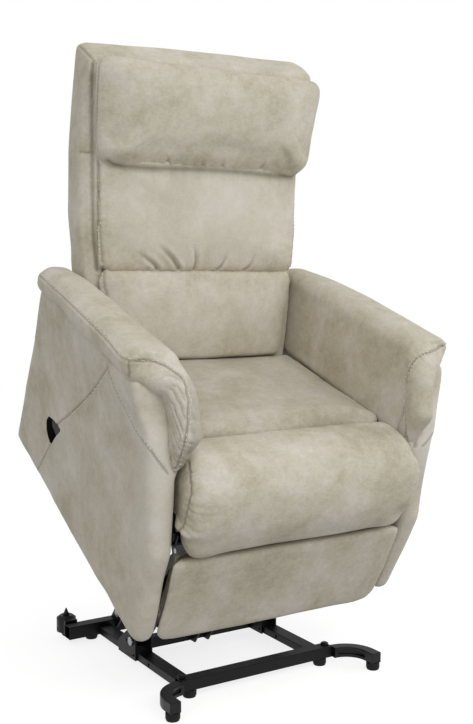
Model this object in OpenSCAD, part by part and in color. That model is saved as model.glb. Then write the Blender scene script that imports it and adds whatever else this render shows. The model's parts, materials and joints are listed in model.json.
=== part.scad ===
// Lift recliner chair, drawn raised: the base stands on the floor, and the chair
// leans forward on its lift arms.  Millimetres, +Z up, sitter faces -Y, +X is the
// sitter's left.  Pieces of the chair body are written in the coordinates that
// they have when the chair is down ("low" places, as [y, z]), and at_chassis()
// carries them to the raised place.

/* [Lift pose] */
// Forward tilt of the raised chair, degrees
lift_tilt = 27.3; // [20:0.1:30]
// Angle of the lower lift arms when raised, degrees from straight back
arm_up_angle = 133.4; // [120:0.1:140]
// Distance from the origin plane to the front pads' row
origin_y = 178.2; // [0:0.1:300]

/* [Base frame] */
// Half the length of the front rail
front_rail_half = 201; // [190:1:220]
// Front rail depth, front to back
front_rail_depth = 30; // [20:1:40]
// Front rail height
front_rail_h = 26; // [20:1:32]
// Underside of the front rail above the floor
front_rail_z = 17; // [15:1:20]
// Distance from the middle to each side rail
side_rail_x = 175; // [170:1:180]
// Side rail width
side_rail_w = 35; // [28:1:38]
// Side rail height
side_rail_h = 18; // [14:1:20]
// Underside of the side rails above the floor
side_rail_z = 13; // [10:1:16]
// Half the length of the rear rail
rear_rail_half = 270; // [250:1:280]
// Front face of the rear rail
rear_rail_y = 424; // [420:1:430]
// Rear rail depth
rear_rail_depth = 32; // [26:1:36]
// Rear rail height
rear_rail_h = 32; // [26:1:34]
// Underside of the rear rail above the floor
rear_rail_z = 10; // [8:1:14]
// Wall of the steel box section
tube_wall = 2; // [1.5:0.5:3]
// Front face of the centre rail that holds the lift motor
centre_rail_y = 262; // [255:1:270]

/* [Feet and castors] */
// Pad diameter
pad_d = 31; // [26:1:36]
// Centre line radius of the curved front feet
foot_r = 61; // [56:1:66]
// Width of the curved front feet
foot_w = 26; // [22:1:30]
// Straight length at the tip of each front foot
foot_tip = 27; // [20:1:36]
// Distance from the middle to the castors
castor_x = 252; // [245:1:256]
// Axle place of the castors behind the pads' row
castor_y = 488; // [482:1:492]
// Castor wheel diameter
castor_d = 44; // [36:1:48]
// Castor wheel width
castor_w = 20; // [16:1:22]

/* [Lift linkage] */
// Lower arm's pivot on the base, back from the pads' row
base_pivot_y = 227; // [222:1:232]
// Lower arm's pivot height
base_pivot_z = 55; // [52:1:60]
// Upper arm's pivot on the base, back from the pads' row
rear_pivot_y = 410; // [405:1:412]
// Upper arm's pivot height
rear_pivot_z = 62; // [60:1:66]
// Lower arm's pivot on the chassis, low place, back
hanger_y = -55.5; // [-60:0.5:-50]
// Lower arm's pivot on the chassis, low place, up
hanger_z = 93; // [90:0.5:96]
// Distance between the two chassis pivots
hanger_gap = 68; // [64:1:74]
// Lift pivot bolt diameter
bolt_d = 12; // [10:1:14]
// Running clearance of a pin in its hole, radial
pin_clear = 0.08; // [0.05:0.01:0.1]
// Width of the lower arms
lower_arm_w = 22; // [18:1:24]
// Depth of the lift arms
arm_depth = 28; // [24:1:30]
// Distance from the middle to the upper arms
upper_arm_x = 132; // [130:1:134]
// Thickness of the upper arms
upper_arm_t = 12; // [10:1:14]
// Clearance at the upper arms' front pivot, radial
open_clear = 3; // [2.8:0.1:3.4]
// Thickness of bracket plates
plate_t = 5; // [4:0.5:6]

/* [Chassis] */
// Inner face of the chassis side plates
chassis_x = 283; // [282:1:284]
// Thickness of the chassis side plates
chassis_t = 4; // [3:0.5:5]
// Diameter of the chassis cross tubes
cross_d = 28; // [22:1:30]
// Height of the cross tubes when down
cross_z = 180; // [176:1:186]
// Back hinge, low place, back
hinge_y = 400; // [395:1:405]
// Back hinge, low place, up
hinge_z = 318; // [314:1:322]

/* [Side panels and arms] */
// Inner face of the side panels
panel_in = 292; // [290:1:294]
// Thickness of the side panels at the bottom
panel_t_low = 44; // [40:1:50]
// Thickness of the side panels at the top
panel_t_top = 68; // [60:1:72]
// Inner face of the padded arms at the seat
arm_in_low = 271; // [270:1:273]
// Inner face of the arm rolls
arm_in = 286; // [284:1:289]
// Overall half width, at the arm rolls
arm_out = 400; // [394:1:410]
// Top of the arm at its front, when down
arm_top = 638; // [625:1:645]
// Slope of the arm down to the back, degrees
arm_slope = 8.2; // [6:0.1:10]
// Height of the arm roll
roll_h = 76; // [66:1:84]
// Rear end of the arms
arm_rear = 524; // [510:1:528]
// Underside of the side panels when down
panel_z = 45; // [42:1:50]

/* [Seat] */
// Half the seat cushion's width
seat_half = 270; // [262:1:270]
// Top of the seat at its front when down
seat_top = 458; // [450:1:466]
// Slope of the seat down to the back, degrees
seat_slope = 9.5; // [7:0.5:10]
// Thickness of the seat cushion
seat_t = 114; // [105:1:120]
// Rear end of the seat cushion
seat_rear = 340; // [330:1:342]
// Where the seat cushion meets the front roll
seat_front = -52; // [-56:1:-45]
// Half the front roll's width
roll_half = 278; // [270:1:279]
// Underside of the front roll
roll_low = 262; // [256:1:268]
// Depth of the front roll
roll_depth = 156; // [146:1:160]
// Width of one seat web
web_w = 60; // [40:1:70]

/* [Back] */
// Half the back's width
back_half = 284; // [276:1:284]
// Half the back's width at its foot, between the arms
back_half_low = 264; // [256:1:265]
// Thickness of the padded back shell, at its foot
shell_t = 104; // [96:1:108]
// Thickness of the padded back shell, at its top
shell_t_top = 96; // [88:1:104]
// Height of the back's top when down
back_top = 1012; // [995:1:1025]
// Lean of the lower back from upright, degrees
back_lean_low = 24; // [20:0.5:26]
// Lean of the upper back from upright, degrees
back_lean_top = 13.5; // [11:0.5:16]
// Height at which the back bends
back_bend = 776; // [760:1:790]
// How far the back leans back when reclined, degrees
recline_travel = 35; // [25:1:36]
// Thickness of the lumbar and middle cushions
cushion_t = 44; // [42:1:54]
// Thickness of the headrest cushion
head_t = 86; // [76:1:92]

/* [Legrest] */
// Legrest pivot on the chassis, low place, back
leg_y = 22; // [18:1:26]
// Legrest pivot, low place, up
leg_z = 236; // [232:1:238]
// Length of the legrest's swinging links
leg_link = 170; // [164:1:172]
// Length of the legrest's reaching links
reach_link = 198.5; // [194:0.5:204]
// Angle of the swinging links when stowed, degrees
leg_stow = 288; // [285:0.5:290]
// Thickness of the legrest links
link_t = 5; // [4:0.5:5]
// Width of the legrest links
link_w = 18; // [14:1:20]
// Legrest rivet diameter
rivet_d = 8; // [6:1:9]
// Half the footrest panel's width
foot_half = 283; // [276:1:286]
// Top of the footrest panel when stowed
foot_top = 248; // [240:1:250]
// Front face of the footrest panel
foot_front = -186; // [-192:1:-180]
// Thickness of the footrest padding
foot_pad_t = 34; // [28:1:38]

/* [Actuators] */
// Diameter of an actuator's outer tube
act_tube_d = 34; // [30:1:38]
// Diameter of an actuator's rod
act_rod_d = 20; // [16:1:22]
// Diameter of an actuator's motor
act_motor_d = 46; // [42:1:50]
// Length of an actuator's motor
act_motor_l = 88; // [80:1:92]
// Diameter of an actuator's pins
act_pin_d = 10; // [8:1:12]

/* [Handset] */
// Handset length
hand_l = 160; // [150:1:165]
// Handset width
hand_w = 52; // [48:1:56]
// Handset thickness
hand_t = 22; // [20:1:24]
// How far the handset sticks out past the pocket's flap
hand_out = 47; // [38:1:48]
// Travel of the handset in its pocket
hand_travel = 9; // [4:1:10]
// Width of a handset button
button_w = 17; // [14:1:18]
// Length of a handset button
button_l = 15; // [12:1:16]
// Travel of a handset button
button_travel = 1.2; // [0.8:0.1:1.5]

/* [Hidden] */

$fn = 40;
soft_fn = 24;
overlap = 0.01;
seat_gap = 0.3;
steel_black = "#1c1c1e";
steel_bright = "#b9babc";
plastic_black = "#141416";
hide = "#a59d8b";
wood = "#b98f5c";
web_grey = "#4a4a4c";

// Plane geometry on [y, z] points
function turn(a, p) = [p.x * cos(a) - p.y * sin(a), p.x * sin(a) + p.y * cos(a)];
function heading(p) = atan2(p.y, p.x);
function ray(r, a) = [r * cos(a), r * sin(a)];

// Lift linkage, low and raised
base_pivot = [base_pivot_y, base_pivot_z];
rear_pivot = [rear_pivot_y, rear_pivot_z];
hanger = [hanger_y, hanger_z];
hanger_rear = hanger + [hanger_gap, 0.5];
lower_arm_l = norm(hanger - base_pivot);
hanger_up = base_pivot + ray(lower_arm_l, arm_up_angle);
function raised(p) = hanger_up + turn(lift_tilt, p - hanger);
hanger_rear_up = raised(hanger_rear);
upper_arm_l = norm(hanger_rear_up - rear_pivot);
upper_arm_up = heading(hanger_rear_up - rear_pivot);
upper_arm_low = heading(hanger_rear - rear_pivot);
// The front hole lies midway between the pin's raised and lowered distances
upper_hole = rear_pivot + ray((upper_arm_l + norm(hanger_rear - rear_pivot)) / 2, upper_arm_up);

// Lift actuator between the centre rail and a lever on the upper arms
lift_eye = [195, 72];
lever_low = [398, 187];
lever_up = rear_pivot + turn(upper_arm_up - upper_arm_low, lever_low - rear_pivot);

// Recline actuator between a chassis tube and a crank on the back
recline_x = 92;
recline_eye = [104, 234];
crank_r = 76;
crank = [hinge_y, hinge_z] + ray(crank_r, recline_travel / 2 - 90);
// The pin runs straight while the crank's hole swings: half of the sag lies on each side
recline_pin = crank - [0, crank_r * (1 - cos(recline_travel / 2)) / 2];

// Chassis
cross_front_y = -40;
cross_rear_y = 72;
hinge = [hinge_y, hinge_z];

// Arms: the roll's axis line starts at the arm's front and falls to the back
arm_front = -20;
roll_r = roll_h / 2;
panel_clear = 0.5;
function arm_z(y) = arm_top - (y - arm_front) * tan(arm_slope);

// Seat plane, from its front edge back
seat_base = [seat_front, seat_top - seat_t];

// Back profile: rear surface, as low places
back_kink = [652, back_bend];
shell_low_z = 372;
function back_point(z) = z < back_bend
  ? [back_kink.x - (back_bend - z) * tan(back_lean_low), z]
  : [back_kink.x + (z - back_bend) * tan(back_lean_top), z];
function forward(p, d, lean) = p + d * [-cos(lean), sin(lean)];

// Legrest: swinging and control links are a parallelogram
leg_pivot = [leg_y, leg_z];
leg_offset = [36, -29];
leg_pivot_2 = leg_pivot + leg_offset;
leg_knee = leg_pivot + ray(leg_link, leg_stow);
leg_knee_2 = leg_knee + leg_offset;
reach_angle = 164.2;
leg_toe = leg_knee + ray(reach_link, reach_angle);
heel = leg_knee + [33, 4];
toe_2 = leg_toe + [47, 0];
// Middle of the path that this pin takes in the upper link
upper_end = toe_2 + [-0.5, 1];
layer_gap = 2;
swing_x = chassis_x - link_t - 4;
reach_x = swing_x - link_t - layer_gap;
bracket_x = reach_x - link_t - layer_gap;
upper_x = bracket_x - link_t - layer_gap;

// Handset: it lies in the left panel and slides out backwards and up
hand_mouth = [295, 228];
hand_rise = 28.3;
hand_flare = 8;
hand_depth = 3;
hand_slip = 2;
function panel_out(z) = panel_in + panel_t_low
  + (panel_t_top - panel_t_low) * (z - panel_z) / (arm_top - roll_h - panel_z);

// ---------------------------------------------------------------- helpers
module at_base() { translate([0, -origin_y, 0]) children(); }
module at_chassis() {
  at_base() translate([0, hanger_up.x, hanger_up.y]) rotate([lift_tilt, 0, 0])
    translate([0, -hanger.x, -hanger.y]) children();
}
module both() {
  children();
  mirror([1, 0, 0]) children();
}
// Extrudes a [y, z] drawing sideways, from x
module sideways(x, t) { translate([x, 0, 0]) rotate([90, 0, 90]) linear_extrude(t) children(); }
// A bar along X through a [y, z] point
module cross_bar(p, x, l, d) { translate([x, p.x, p.y]) rotate([0, 90, 0]) cylinder(h = l, d = d); }
// Outline of a flat link between two points
module link_2d(a, b, w) {
  len = norm(b - a);
  translate(a) rotate(heading(b - a)) {
    circle(d = w);
    translate([0, -w / 2]) square([len, w]);
    translate([len, 0]) circle(d = w);
  }
}
// A flat link with a hole at each end
module link(x, t, a, b, w, hole_a, hole_b) {
  difference() {
    sideways(x, t) link_2d(a, b, w);
    cross_bar(a, x - 1, t + 2, hole_a);
    cross_bar(b, x - 1, t + 2, hole_b);
  }
}
// A riveted stud with a head at its far end, inwards or outwards
module stud(p, x, l, d, head_d, head_t) {
  cross_bar(p, x, l, d);
  cross_bar(p, x + l, head_t, head_d);
}
module stud_in(p, x, l, d, head_d, head_t) {
  cross_bar(p, x - l, l, d);
  cross_bar(p, x - l - head_t, head_t, head_d);
}
// Hollow square tube along X
module box_x(x0, x1, y, z, d, h, wall) {
  difference() {
    translate([x0, y, z]) cube([x1 - x0, d, h]);
    translate([x0 - 1, y + wall, z + wall]) cube([x1 - x0 + 2, d - 2 * wall, h - 2 * wall]);
  }
}
// Padded block: balls at the [y, z] centres of a profile, and its half width
module padded_block(half, r, profile) {
  hull() for (p = profile, x = [r - half, half - r]) translate([x, p.x, p.y]) sphere(r, $fn = soft_fn);
}

// ---------------------------------------------------------------- base frame
module front_rail() color(steel_black) at_base() {
  box_x(-front_rail_half, front_rail_half, 10 - front_rail_depth, front_rail_z,
        front_rail_depth, front_rail_h, tube_wall);
}

module rear_rail() color(steel_black) at_base() {
  box_x(-rear_rail_half, rear_rail_half, rear_rail_y, rear_rail_z,
        rear_rail_depth, rear_rail_h, tube_wall);
}

module side_rail(x) {
  front = 10;
  hole_y = 150;
  difference() {
    translate([x - side_rail_w / 2, front, side_rail_z])
      cube([side_rail_w, rear_rail_y - front, side_rail_h]);
    translate([x - side_rail_w / 2 + tube_wall, front - 1, side_rail_z + tube_wall])
      cube([side_rail_w - 2 * tube_wall, rear_rail_y - front + 2, side_rail_h - 2 * tube_wall]);
    cross_bar([hole_y, side_rail_z + side_rail_h / 2], x - side_rail_w, 2 * side_rail_w, 7);
  }
}
module side_rail_left() color(steel_black) at_base() side_rail(side_rail_x);
module side_rail_right() color(steel_black) at_base() side_rail(-side_rail_x);

// Cross rail with the cradle that carries the lift motor
module centre_rail() color(steel_black) at_base() {
  half = side_rail_x - side_rail_w / 2 - plate_t;
  depth = 26;
  ear_in = 16;
  box_x(-half, half, centre_rail_y, side_rail_z, depth, side_rail_h + 8, tube_wall);
  both() difference() {
    sideways(ear_in, plate_t) polygon([
      [lift_eye.x - 12, lift_eye.y - 12], [lift_eye.x + 12, lift_eye.y - 12],
      [centre_rail_y - 20, side_rail_z], [centre_rail_y, side_rail_z],
      [centre_rail_y, side_rail_z + side_rail_h + 8], [lift_eye.x + 9, lift_eye.y + 9],
      [lift_eye.x - 9, lift_eye.y + 9]]);
    cross_bar(lift_eye, ear_in - 1, plate_t + 2, act_pin_d);
  }
  cross_bar(lift_eye, -ear_in - plate_t, 2 * (ear_in + plate_t), act_pin_d);
}

// U-shaped bracket that straddles a side rail and holds the lower arm's pivot
module lift_bracket(x) {
  inner = side_rail_w / 2;
  y0 = 208;
  y1 = 299;
  top = 76;
  for (side = [-1, 1]) difference() {
    sideways(side > 0 ? x + inner : x - inner - plate_t, plate_t)
      polygon([[y0, 12], [y1, 12], [y1, 40], [y0 + 42, top], [y0 + 6, top], [y0, top - 8]]);
    cross_bar(base_pivot, side > 0 ? x + inner - 1 : x - inner - plate_t - 1, plate_t + 2, bolt_d);
    cross_bar([y0 + 9, 23], side > 0 ? x + inner - 1 : x - inner - plate_t - 1, plate_t + 2, 6);
    cross_bar([y0 + 46, 50], side > 0 ? x + inner - 1 : x - inner - plate_t - 1, plate_t + 2, 6);
  }
  // web under the rail
  translate([x - inner, y0 + 20, side_rail_z - 3]) cube([side_rail_w, y1 - y0 - 30, 3]);
}
module lift_bracket_left() color(steel_black) at_base() lift_bracket(side_rail_x);
module lift_bracket_right() color(steel_black) at_base() lift_bracket(-side_rail_x);

// Ears on the rear rail, outside the upper arms
ear_x = upper_arm_x + upper_arm_t / 2 + 2;
module rear_pivot_ears() color(steel_black) at_base() both() difference() {
  sideways(ear_x, plate_t) polygon([
    [rear_pivot.x - 16, rear_pivot.y - 12], [rear_pivot.x - 16, rear_pivot.y + 10],
    [rear_pivot.x - 8, rear_pivot.y + 18], [rear_pivot.x + 10, rear_pivot.y + 18],
    [rear_rail_y + rear_rail_depth - 4, rear_rail_z + rear_rail_h],
    [rear_rail_y, rear_rail_z + rear_rail_h], [rear_rail_y, rear_rail_z + 8]]);
  cross_bar(rear_pivot, ear_x - 1, plate_t + 2, bolt_d);
}

foot_y = -19 - foot_r;
// Cast foot: a quarter ring from the end of the front rail, then a straight tip
module front_foot() {
  z0 = front_rail_z;
  ring_x = front_rail_half;
  ring_y = foot_y;
  difference() {
    union() {
      translate([ring_x, ring_y, z0]) rotate_extrude(angle = 90)
        translate([foot_r - foot_w / 2, 0]) square([foot_w, front_rail_h - 2]);
      translate([ring_x + foot_r - foot_w / 2, ring_y - foot_tip, z0])
        cube([foot_w, foot_tip, front_rail_h - 2]);
    }
    // the inner side is hollowed by a groove
    translate([ring_x, ring_y, z0 + 8]) rotate_extrude(angle = 80)
      translate([foot_r - foot_w / 2 - 1, 0]) square([7, 9]);
  }
}
module front_foot_left() color(plastic_black) at_base() front_foot();
module front_foot_right() color(plastic_black) at_base() mirror([1, 0, 0]) front_foot();

// Round plugs where the feet meet the rail
module foot_plugs() color(plastic_black) at_base() both()
  translate([front_rail_half - 10, -2, front_rail_z + front_rail_h]) {
    cylinder(h = 4, d = 18);
    translate([0, 0, 4]) cylinder(h = 2, d1 = 18, d2 = 12);
  }

module floor_pad(x, y, h) {
  translate([x, y, 0]) cylinder(h = 5, d1 = pad_d - 4, d2 = pad_d);
  translate([x, y, 5]) cylinder(h = h - 5, d = pad_d);
}
module floor_pads() color(plastic_black) at_base() both() {
  floor_pad(174, -6, front_rail_z);
  floor_pad(front_rail_half + foot_r, foot_y - foot_tip / 2, front_rail_z);
  floor_pad(205, rear_rail_y + rear_rail_depth / 2, rear_rail_z);
}

// Moulded castor housing behind each end of the rear rail
module castor_housing() {
  y0 = rear_rail_y + rear_rail_depth;
  wall = 4;
  top = castor_d + 4;
  half = castor_w / 2 + 2;
  difference() {
    union() {
      translate([castor_x - half - wall, y0, 14]) cube([2 * (half + wall), castor_y - y0, top - 14]);
      translate([castor_x, castor_y, 14]) cylinder(h = top - 14, r = half + wall + 8);
      translate([castor_x, castor_y, top]) cylinder(h = 6, r1 = half + wall + 8, r2 = half + wall);
    }
    translate([castor_x - half, castor_y - castor_d / 2 - 3, -1])
      cube([2 * half, castor_d + 6, castor_d + 2]);
    cross_bar([castor_y, castor_d / 2 + 0.2], castor_x - half - wall - 12, 2 * half + 2 * wall + 24, 8);
  }
}
module castor_housing_left() color(plastic_black) at_base() castor_housing();
module castor_housing_right() color(plastic_black) at_base() mirror([1, 0, 0]) castor_housing();

module castor_knobs() color(plastic_black) at_base() both()
  translate([castor_x, castor_y, castor_d + 10]) {
    cylinder(h = 4, d = 16);
    translate([0, 0, 4]) cylinder(h = 13, d1 = 13, d2 = 3);
  }

module castor_axles() color(steel_bright) at_base() both()
  cross_bar([castor_y, castor_d / 2 + 0.2], castor_x - castor_w / 2 - 8, castor_w + 16, 8);

module castor_wheel(x) {
  translate([x - castor_w / 2, castor_y, castor_d / 2 + 0.2]) rotate([0, 90, 0]) difference() {
    union() {
      translate([0, 0, 2]) cylinder(h = castor_w - 4, d = castor_d);
      cylinder(h = 2, d1 = castor_d - 4, d2 = castor_d);
      translate([0, 0, castor_w - 2]) cylinder(h = 2, d1 = castor_d, d2 = castor_d - 4);
    }
    translate([0, 0, -1]) cylinder(h = castor_w + 2, d = 8 + 2 * pin_clear);
    for (end = [-0.01, castor_w - 2.99]) translate([0, 0, end]) difference() {
      cylinder(h = 3, d = castor_d - 14);
      translate([0, 0, -1]) cylinder(h = 5, d = 16);
    }
  }
}
module castor_wheel_left() color(plastic_black) at_base() castor_wheel(castor_x);
module castor_wheel_right() color(plastic_black) at_base() castor_wheel(-castor_x);

// Bright bolts: lower arm pivots, and upper arm pivots that reach into their torque tube
upper_bolt_in = upper_arm_x - upper_arm_t / 2 - 16;
module base_pivot_bolts() color(steel_bright) at_base() both() {
  outer = side_rail_x + side_rail_w / 2 + plate_t;
  inner = side_rail_x - side_rail_w / 2 - plate_t;
  stud(base_pivot, inner, outer - inner, bolt_d, bolt_d + 8, 5);
  cross_bar(base_pivot, inner - 5, 5, bolt_d + 6);
  stud(rear_pivot, upper_bolt_in, ear_x + plate_t - upper_bolt_in, bolt_d, bolt_d + 8, 5);
}

// ---------------------------------------------------------------- lift arms
module lower_lift_arms() color(steel_black) at_base() {
  hole = bolt_d + 2 * pin_clear;
  tube_at = base_pivot + ray(lower_arm_l * 0.3, arm_up_angle) + ray(9, arm_up_angle + 90);
  both() link(side_rail_x - lower_arm_w / 2, lower_arm_w, base_pivot, hanger_up, arm_depth, hole, hole);
  cross_bar(tube_at, -side_rail_x + lower_arm_w / 2, 2 * side_rail_x - lower_arm_w, 20);
}

module upper_lift_arms() color(steel_black) at_base() {
  hole = bolt_d + 2 * pin_clear;
  x = upper_arm_x - upper_arm_t / 2;
  lever_x = 11;
  tube_d = 23;
  both() difference() {
    union() {
      sideways(x, upper_arm_t) {
        link_2d(rear_pivot, upper_hole, arm_depth - 4);
        translate(upper_hole) circle(d = arm_depth);
      }
      cross_bar(rear_pivot, lever_x, upper_arm_x - lever_x, tube_d);
      sideways(lever_x, plate_t) link_2d(rear_pivot, lever_up, 24);
    }
    cross_bar(rear_pivot, upper_bolt_in - 1, x + upper_arm_t + 2 - upper_bolt_in, hole);
    cross_bar(upper_hole, x - 1, upper_arm_t + 2, bolt_d + 2 * open_clear);
    cross_bar(lever_up, lever_x - 1, plate_t + 2, act_pin_d + 2 * open_clear);
  }
  cross_bar(rear_pivot, -lever_x, 2 * lever_x, tube_d);
}

// ---------------------------------------------------------------- actuators
// Motor, gearbox and outer tube; the rear eye is at the origin, the stroke along +X
module actuator_body(tube_end, motor_side) {
  box_l = 46;
  box_h = 42;
  box_w = 28;
  difference() {
    union() {
      translate([0, 0, -9]) cylinder(h = 18, d = 22);
      translate([0, -9, -9]) cube([24, 18, 18]);
      translate([22, -box_h / 2, -box_w / 2]) cube([box_l, box_h, box_w]);
      translate([22 + box_l - overlap, 0, 0]) rotate([0, 90, 0])
        cylinder(h = tube_end - 22 - box_l, d = act_tube_d);
      translate([22 + box_l / 2, 0, motor_side * (box_w / 2 - overlap)])
        mirror([0, 0, motor_side > 0 ? 0 : 1]) cylinder(h = act_motor_l, d = act_motor_d);
    }
    translate([0, 0, -12]) cylinder(h = 24, d = act_pin_d + 2 * pin_clear);
    translate([72, 0, 0]) rotate([0, 90, 0]) cylinder(h = tube_end, d = act_rod_d + 2 * pin_clear);
  }
}
module actuator_rod(from, eye) {
  difference() {
    union() {
      translate([from, 0, 0]) rotate([0, 90, 0]) cylinder(h = eye - from - 8, d = act_rod_d);
      translate([eye - 10, 0, -7]) cylinder(h = 14, d = 4);
      translate([eye - 12, -8, -7]) cube([12, 16, 14]);
      translate([eye, 0, -7]) cylinder(h = 14, d = 20);
    }
    translate([eye, 0, -8]) cylinder(h = 16, d = act_pin_d);
  }
  translate([eye, 0, -18]) cylinder(h = 36, d = act_pin_d);
}
// Places an actuator drawing: its stroke runs from one [y, z] point to another
module aim(x, a, b) {
  translate([x, a.x, a.y]) rotate([heading(b - a), 0, 0]) rotate([90, 0, 90]) children();
}

lift_len = norm(lever_up - lift_eye);
lift_stroke = 58;
lift_tube = lift_len - lift_stroke - 21;
module lift_motor() color(plastic_black) at_base() aim(0, lift_eye, lever_up)
  actuator_body(lift_tube, -1);
module lift_rod() color(steel_bright) at_base() aim(0, lift_eye, lever_up)
  actuator_rod(lift_tube - 60, lift_len);

recline_len = norm(recline_pin - recline_eye);
recline_stroke = 48;
recline_tube = recline_len - recline_stroke - 16;
module recline_motor() color(plastic_black) at_chassis() aim(recline_x, recline_eye, recline_pin)
  actuator_body(recline_tube, 1);
module recline_rod() color(steel_bright) at_chassis() aim(recline_x, recline_eye, recline_pin)
  actuator_rod(recline_tube - 60, recline_len);

// ---------------------------------------------------------------- chassis
module chassis_plates() color(steel_black) at_chassis() {
  lug_y = -164;
  lug_z = 278;
  spacer_l = panel_in - chassis_x - chassis_t;
  both() {
    difference() {
      sideways(chassis_x, chassis_t) polygon([
        [cross_front_y - 22, cross_z - 18], [cross_rear_y + 22, cross_z - 18],
        [160, 205], [hinge.x + 16, hinge.y - 16], [hinge.x + 16, hinge.y + 14],
        [hinge.x - 18, hinge.y + 18], [90, lug_z + 22], [lug_y, lug_z + 26], [lug_y, lug_z],
        [cross_front_y - 22, 250]]);
      cross_bar(leg_pivot, chassis_x - 1, chassis_t + 2, rivet_d + 4);
      cross_bar(leg_pivot_2, chassis_x - 1, chassis_t + 2, rivet_d);
      cross_bar(hinge, chassis_x - 1, chassis_t + 2, bolt_d);
    }
    stud_in(leg_pivot_2, chassis_x + chassis_t, chassis_x + chassis_t - swing_x + 1,
            rivet_d, rivet_d + 4, 1);
    // bolts into the seat's frame
    for (p = [[-40, 301], [190, 292]])
      cross_bar(p, rail_out, chassis_x - rail_out, 20);
    // spacers that carry the side panels
    for (p = [[lug_y + 16, lug_z + 13], [cross_front_y, 200], [140, 240], [300, 285]])
      cross_bar(p, chassis_x + chassis_t, spacer_l, 22);
  }
}

module chassis_tubes() color(steel_black) at_chassis() {
  riser_x = 219;
  tube_half = 236;
  ear_x = 16;
  for (y = [cross_front_y, cross_rear_y]) {
    cross_bar([y, cross_z], -tube_half, 2 * tube_half, cross_d);
    top = y < 0 ? board_low : seat_under(y + 10);
    both() translate([riser_x, y, cross_z]) cylinder(h = top - cross_z, d = 20);
  }
  // ears of the recline actuator
  for (x = [recline_x - ear_x - plate_t, recline_x + ear_x]) sideways(x, plate_t) polygon([
    [recline_eye.x - 14, recline_eye.y - 10], [recline_eye.x + 12, recline_eye.y - 10],
    [recline_eye.x + 12, recline_eye.y + 12], [recline_eye.x - 10, recline_eye.y + 12],
    [cross_rear_y - 8, cross_z], [cross_rear_y + 10, cross_z]]);
  cross_bar(recline_eye, recline_x - ear_x, 2 * ear_x, act_pin_d);
}

// Plates hung from the cross tubes, which carry both lift pivots
module hanger_plates() color(steel_black) at_chassis() both() {
  x = side_rail_x - lower_arm_w / 2 - 14;
  difference() {
    union() {
      sideways(x, plate_t) polygon([
        [hanger.x - 16, hanger.y - 6], [hanger.x - 8, hanger.y - 15], [hanger_rear.x + 8, hanger_rear.y - 15],
        [hanger_rear.x + 16, hanger_rear.y - 6], [cross_rear_y + 18, cross_z - 10],
        [cross_rear_y + 18, cross_z + 18], [cross_front_y - 20, cross_z + 18]]);
      cross_bar(hanger, x, 13, bolt_d + 10);
    }
    cross_bar(hanger, x - 1, 16, bolt_d);
    cross_bar(hanger_rear, x - 1, plate_t + 2, bolt_d);
    cross_bar([cross_front_y, cross_z], x - 1, plate_t + 2, cross_d);
    cross_bar([cross_rear_y, cross_z], x - 1, plate_t + 2, cross_d);
  }
}

module hanger_bolts() color(steel_bright) at_chassis() both() {
  x = side_rail_x - lower_arm_w / 2 - 14;
  outer = side_rail_x + lower_arm_w / 2 + 1;
  inner = upper_arm_x - upper_arm_t / 2 - 1;
  stud(hanger, x, outer - x, bolt_d, bolt_d + 8, 4);
  stud_in(hanger_rear, x + plate_t, x + plate_t - inner, bolt_d, bolt_d + 14, 4);
}

// ---------------------------------------------------------------- side panels and arms
panel_front = -178;
panel_rear_low = 557;
panel_rear_top = 516;
// Two balls across the panel's thickness at a [y, z] centre
module panel_post(p, r) {
  for (x = [panel_in + r, panel_out(p.y) - r]) translate([x, p.x, p.y]) sphere(r, $fn = soft_fn);
}
module panel_form() {
  r = 12;
  hull() {
    panel_post([panel_rear_low - r, panel_z + r], r);
    panel_post([-128, panel_z + r], r);
    panel_post([panel_front + 27, panel_z + 22], 20);
    panel_post([panel_front + 24, 262], 24);
    panel_post([-78, 470], 24);
    panel_post([-44 + r, arm_z(-44) - roll_h - r - 4], r);
    panel_post([panel_rear_top - r, arm_z(panel_rear_top) - roll_h - r - 6], r);
  }
}
// Padded front of the arm, with a tongue that narrows down to a tip at the seat
module arm_front_form(grow) {
  hull() {
    translate([arm_out - 26, arm_front + 14, arm_top - 40]) sphere(24 + grow, $fn = soft_fn);
    translate([arm_in + 26, arm_front - 28, arm_top - 52]) sphere(32 + grow, $fn = soft_fn);
    translate([arm_in + 36, arm_front + 14, arm_top - 36]) sphere(34 + grow, $fn = soft_fn);
  }
  hull() {
    translate([arm_in + 22, arm_front - 40, arm_top - 66]) sphere(32 + grow, $fn = soft_fn);
    translate([arm_in + 13, arm_front - 86, arm_top - 130]) sphere(29 + grow, $fn = soft_fn);
    translate([panel_in + 6, arm_front - 86, 436]) sphere(15 + grow, $fn = soft_fn);
  }
}
module side_panel() {
  difference() {
    panel_form();
    arm_front_form(panel_clear);
  }
}
module side_panel_left() color(hide) at_chassis() side_panel();
module side_panel_right() color(hide) at_chassis() difference() {
  mirror([1, 0, 0]) side_panel();
  at_pocket(0) translate([-hand_slip, -hand_w / 2 - hand_slip, -hand_slip])
    cube([hand_l + hand_travel + 2 * hand_slip, hand_w + 2 * hand_slip, hand_t + 2 * hand_slip]);
  // mouth of the pocket, above the flap's edge
  at_pocket(hand_l - hand_out) translate([0, 0, -hand_slip - 0.5]) linear_extrude(hand_t + hand_depth + 30)
    polygon([[0, -38], [5, -43], [37, -25], [58, -4], [58, 2], [46, 29], [5, 29], [0, 24]]);
}

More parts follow.
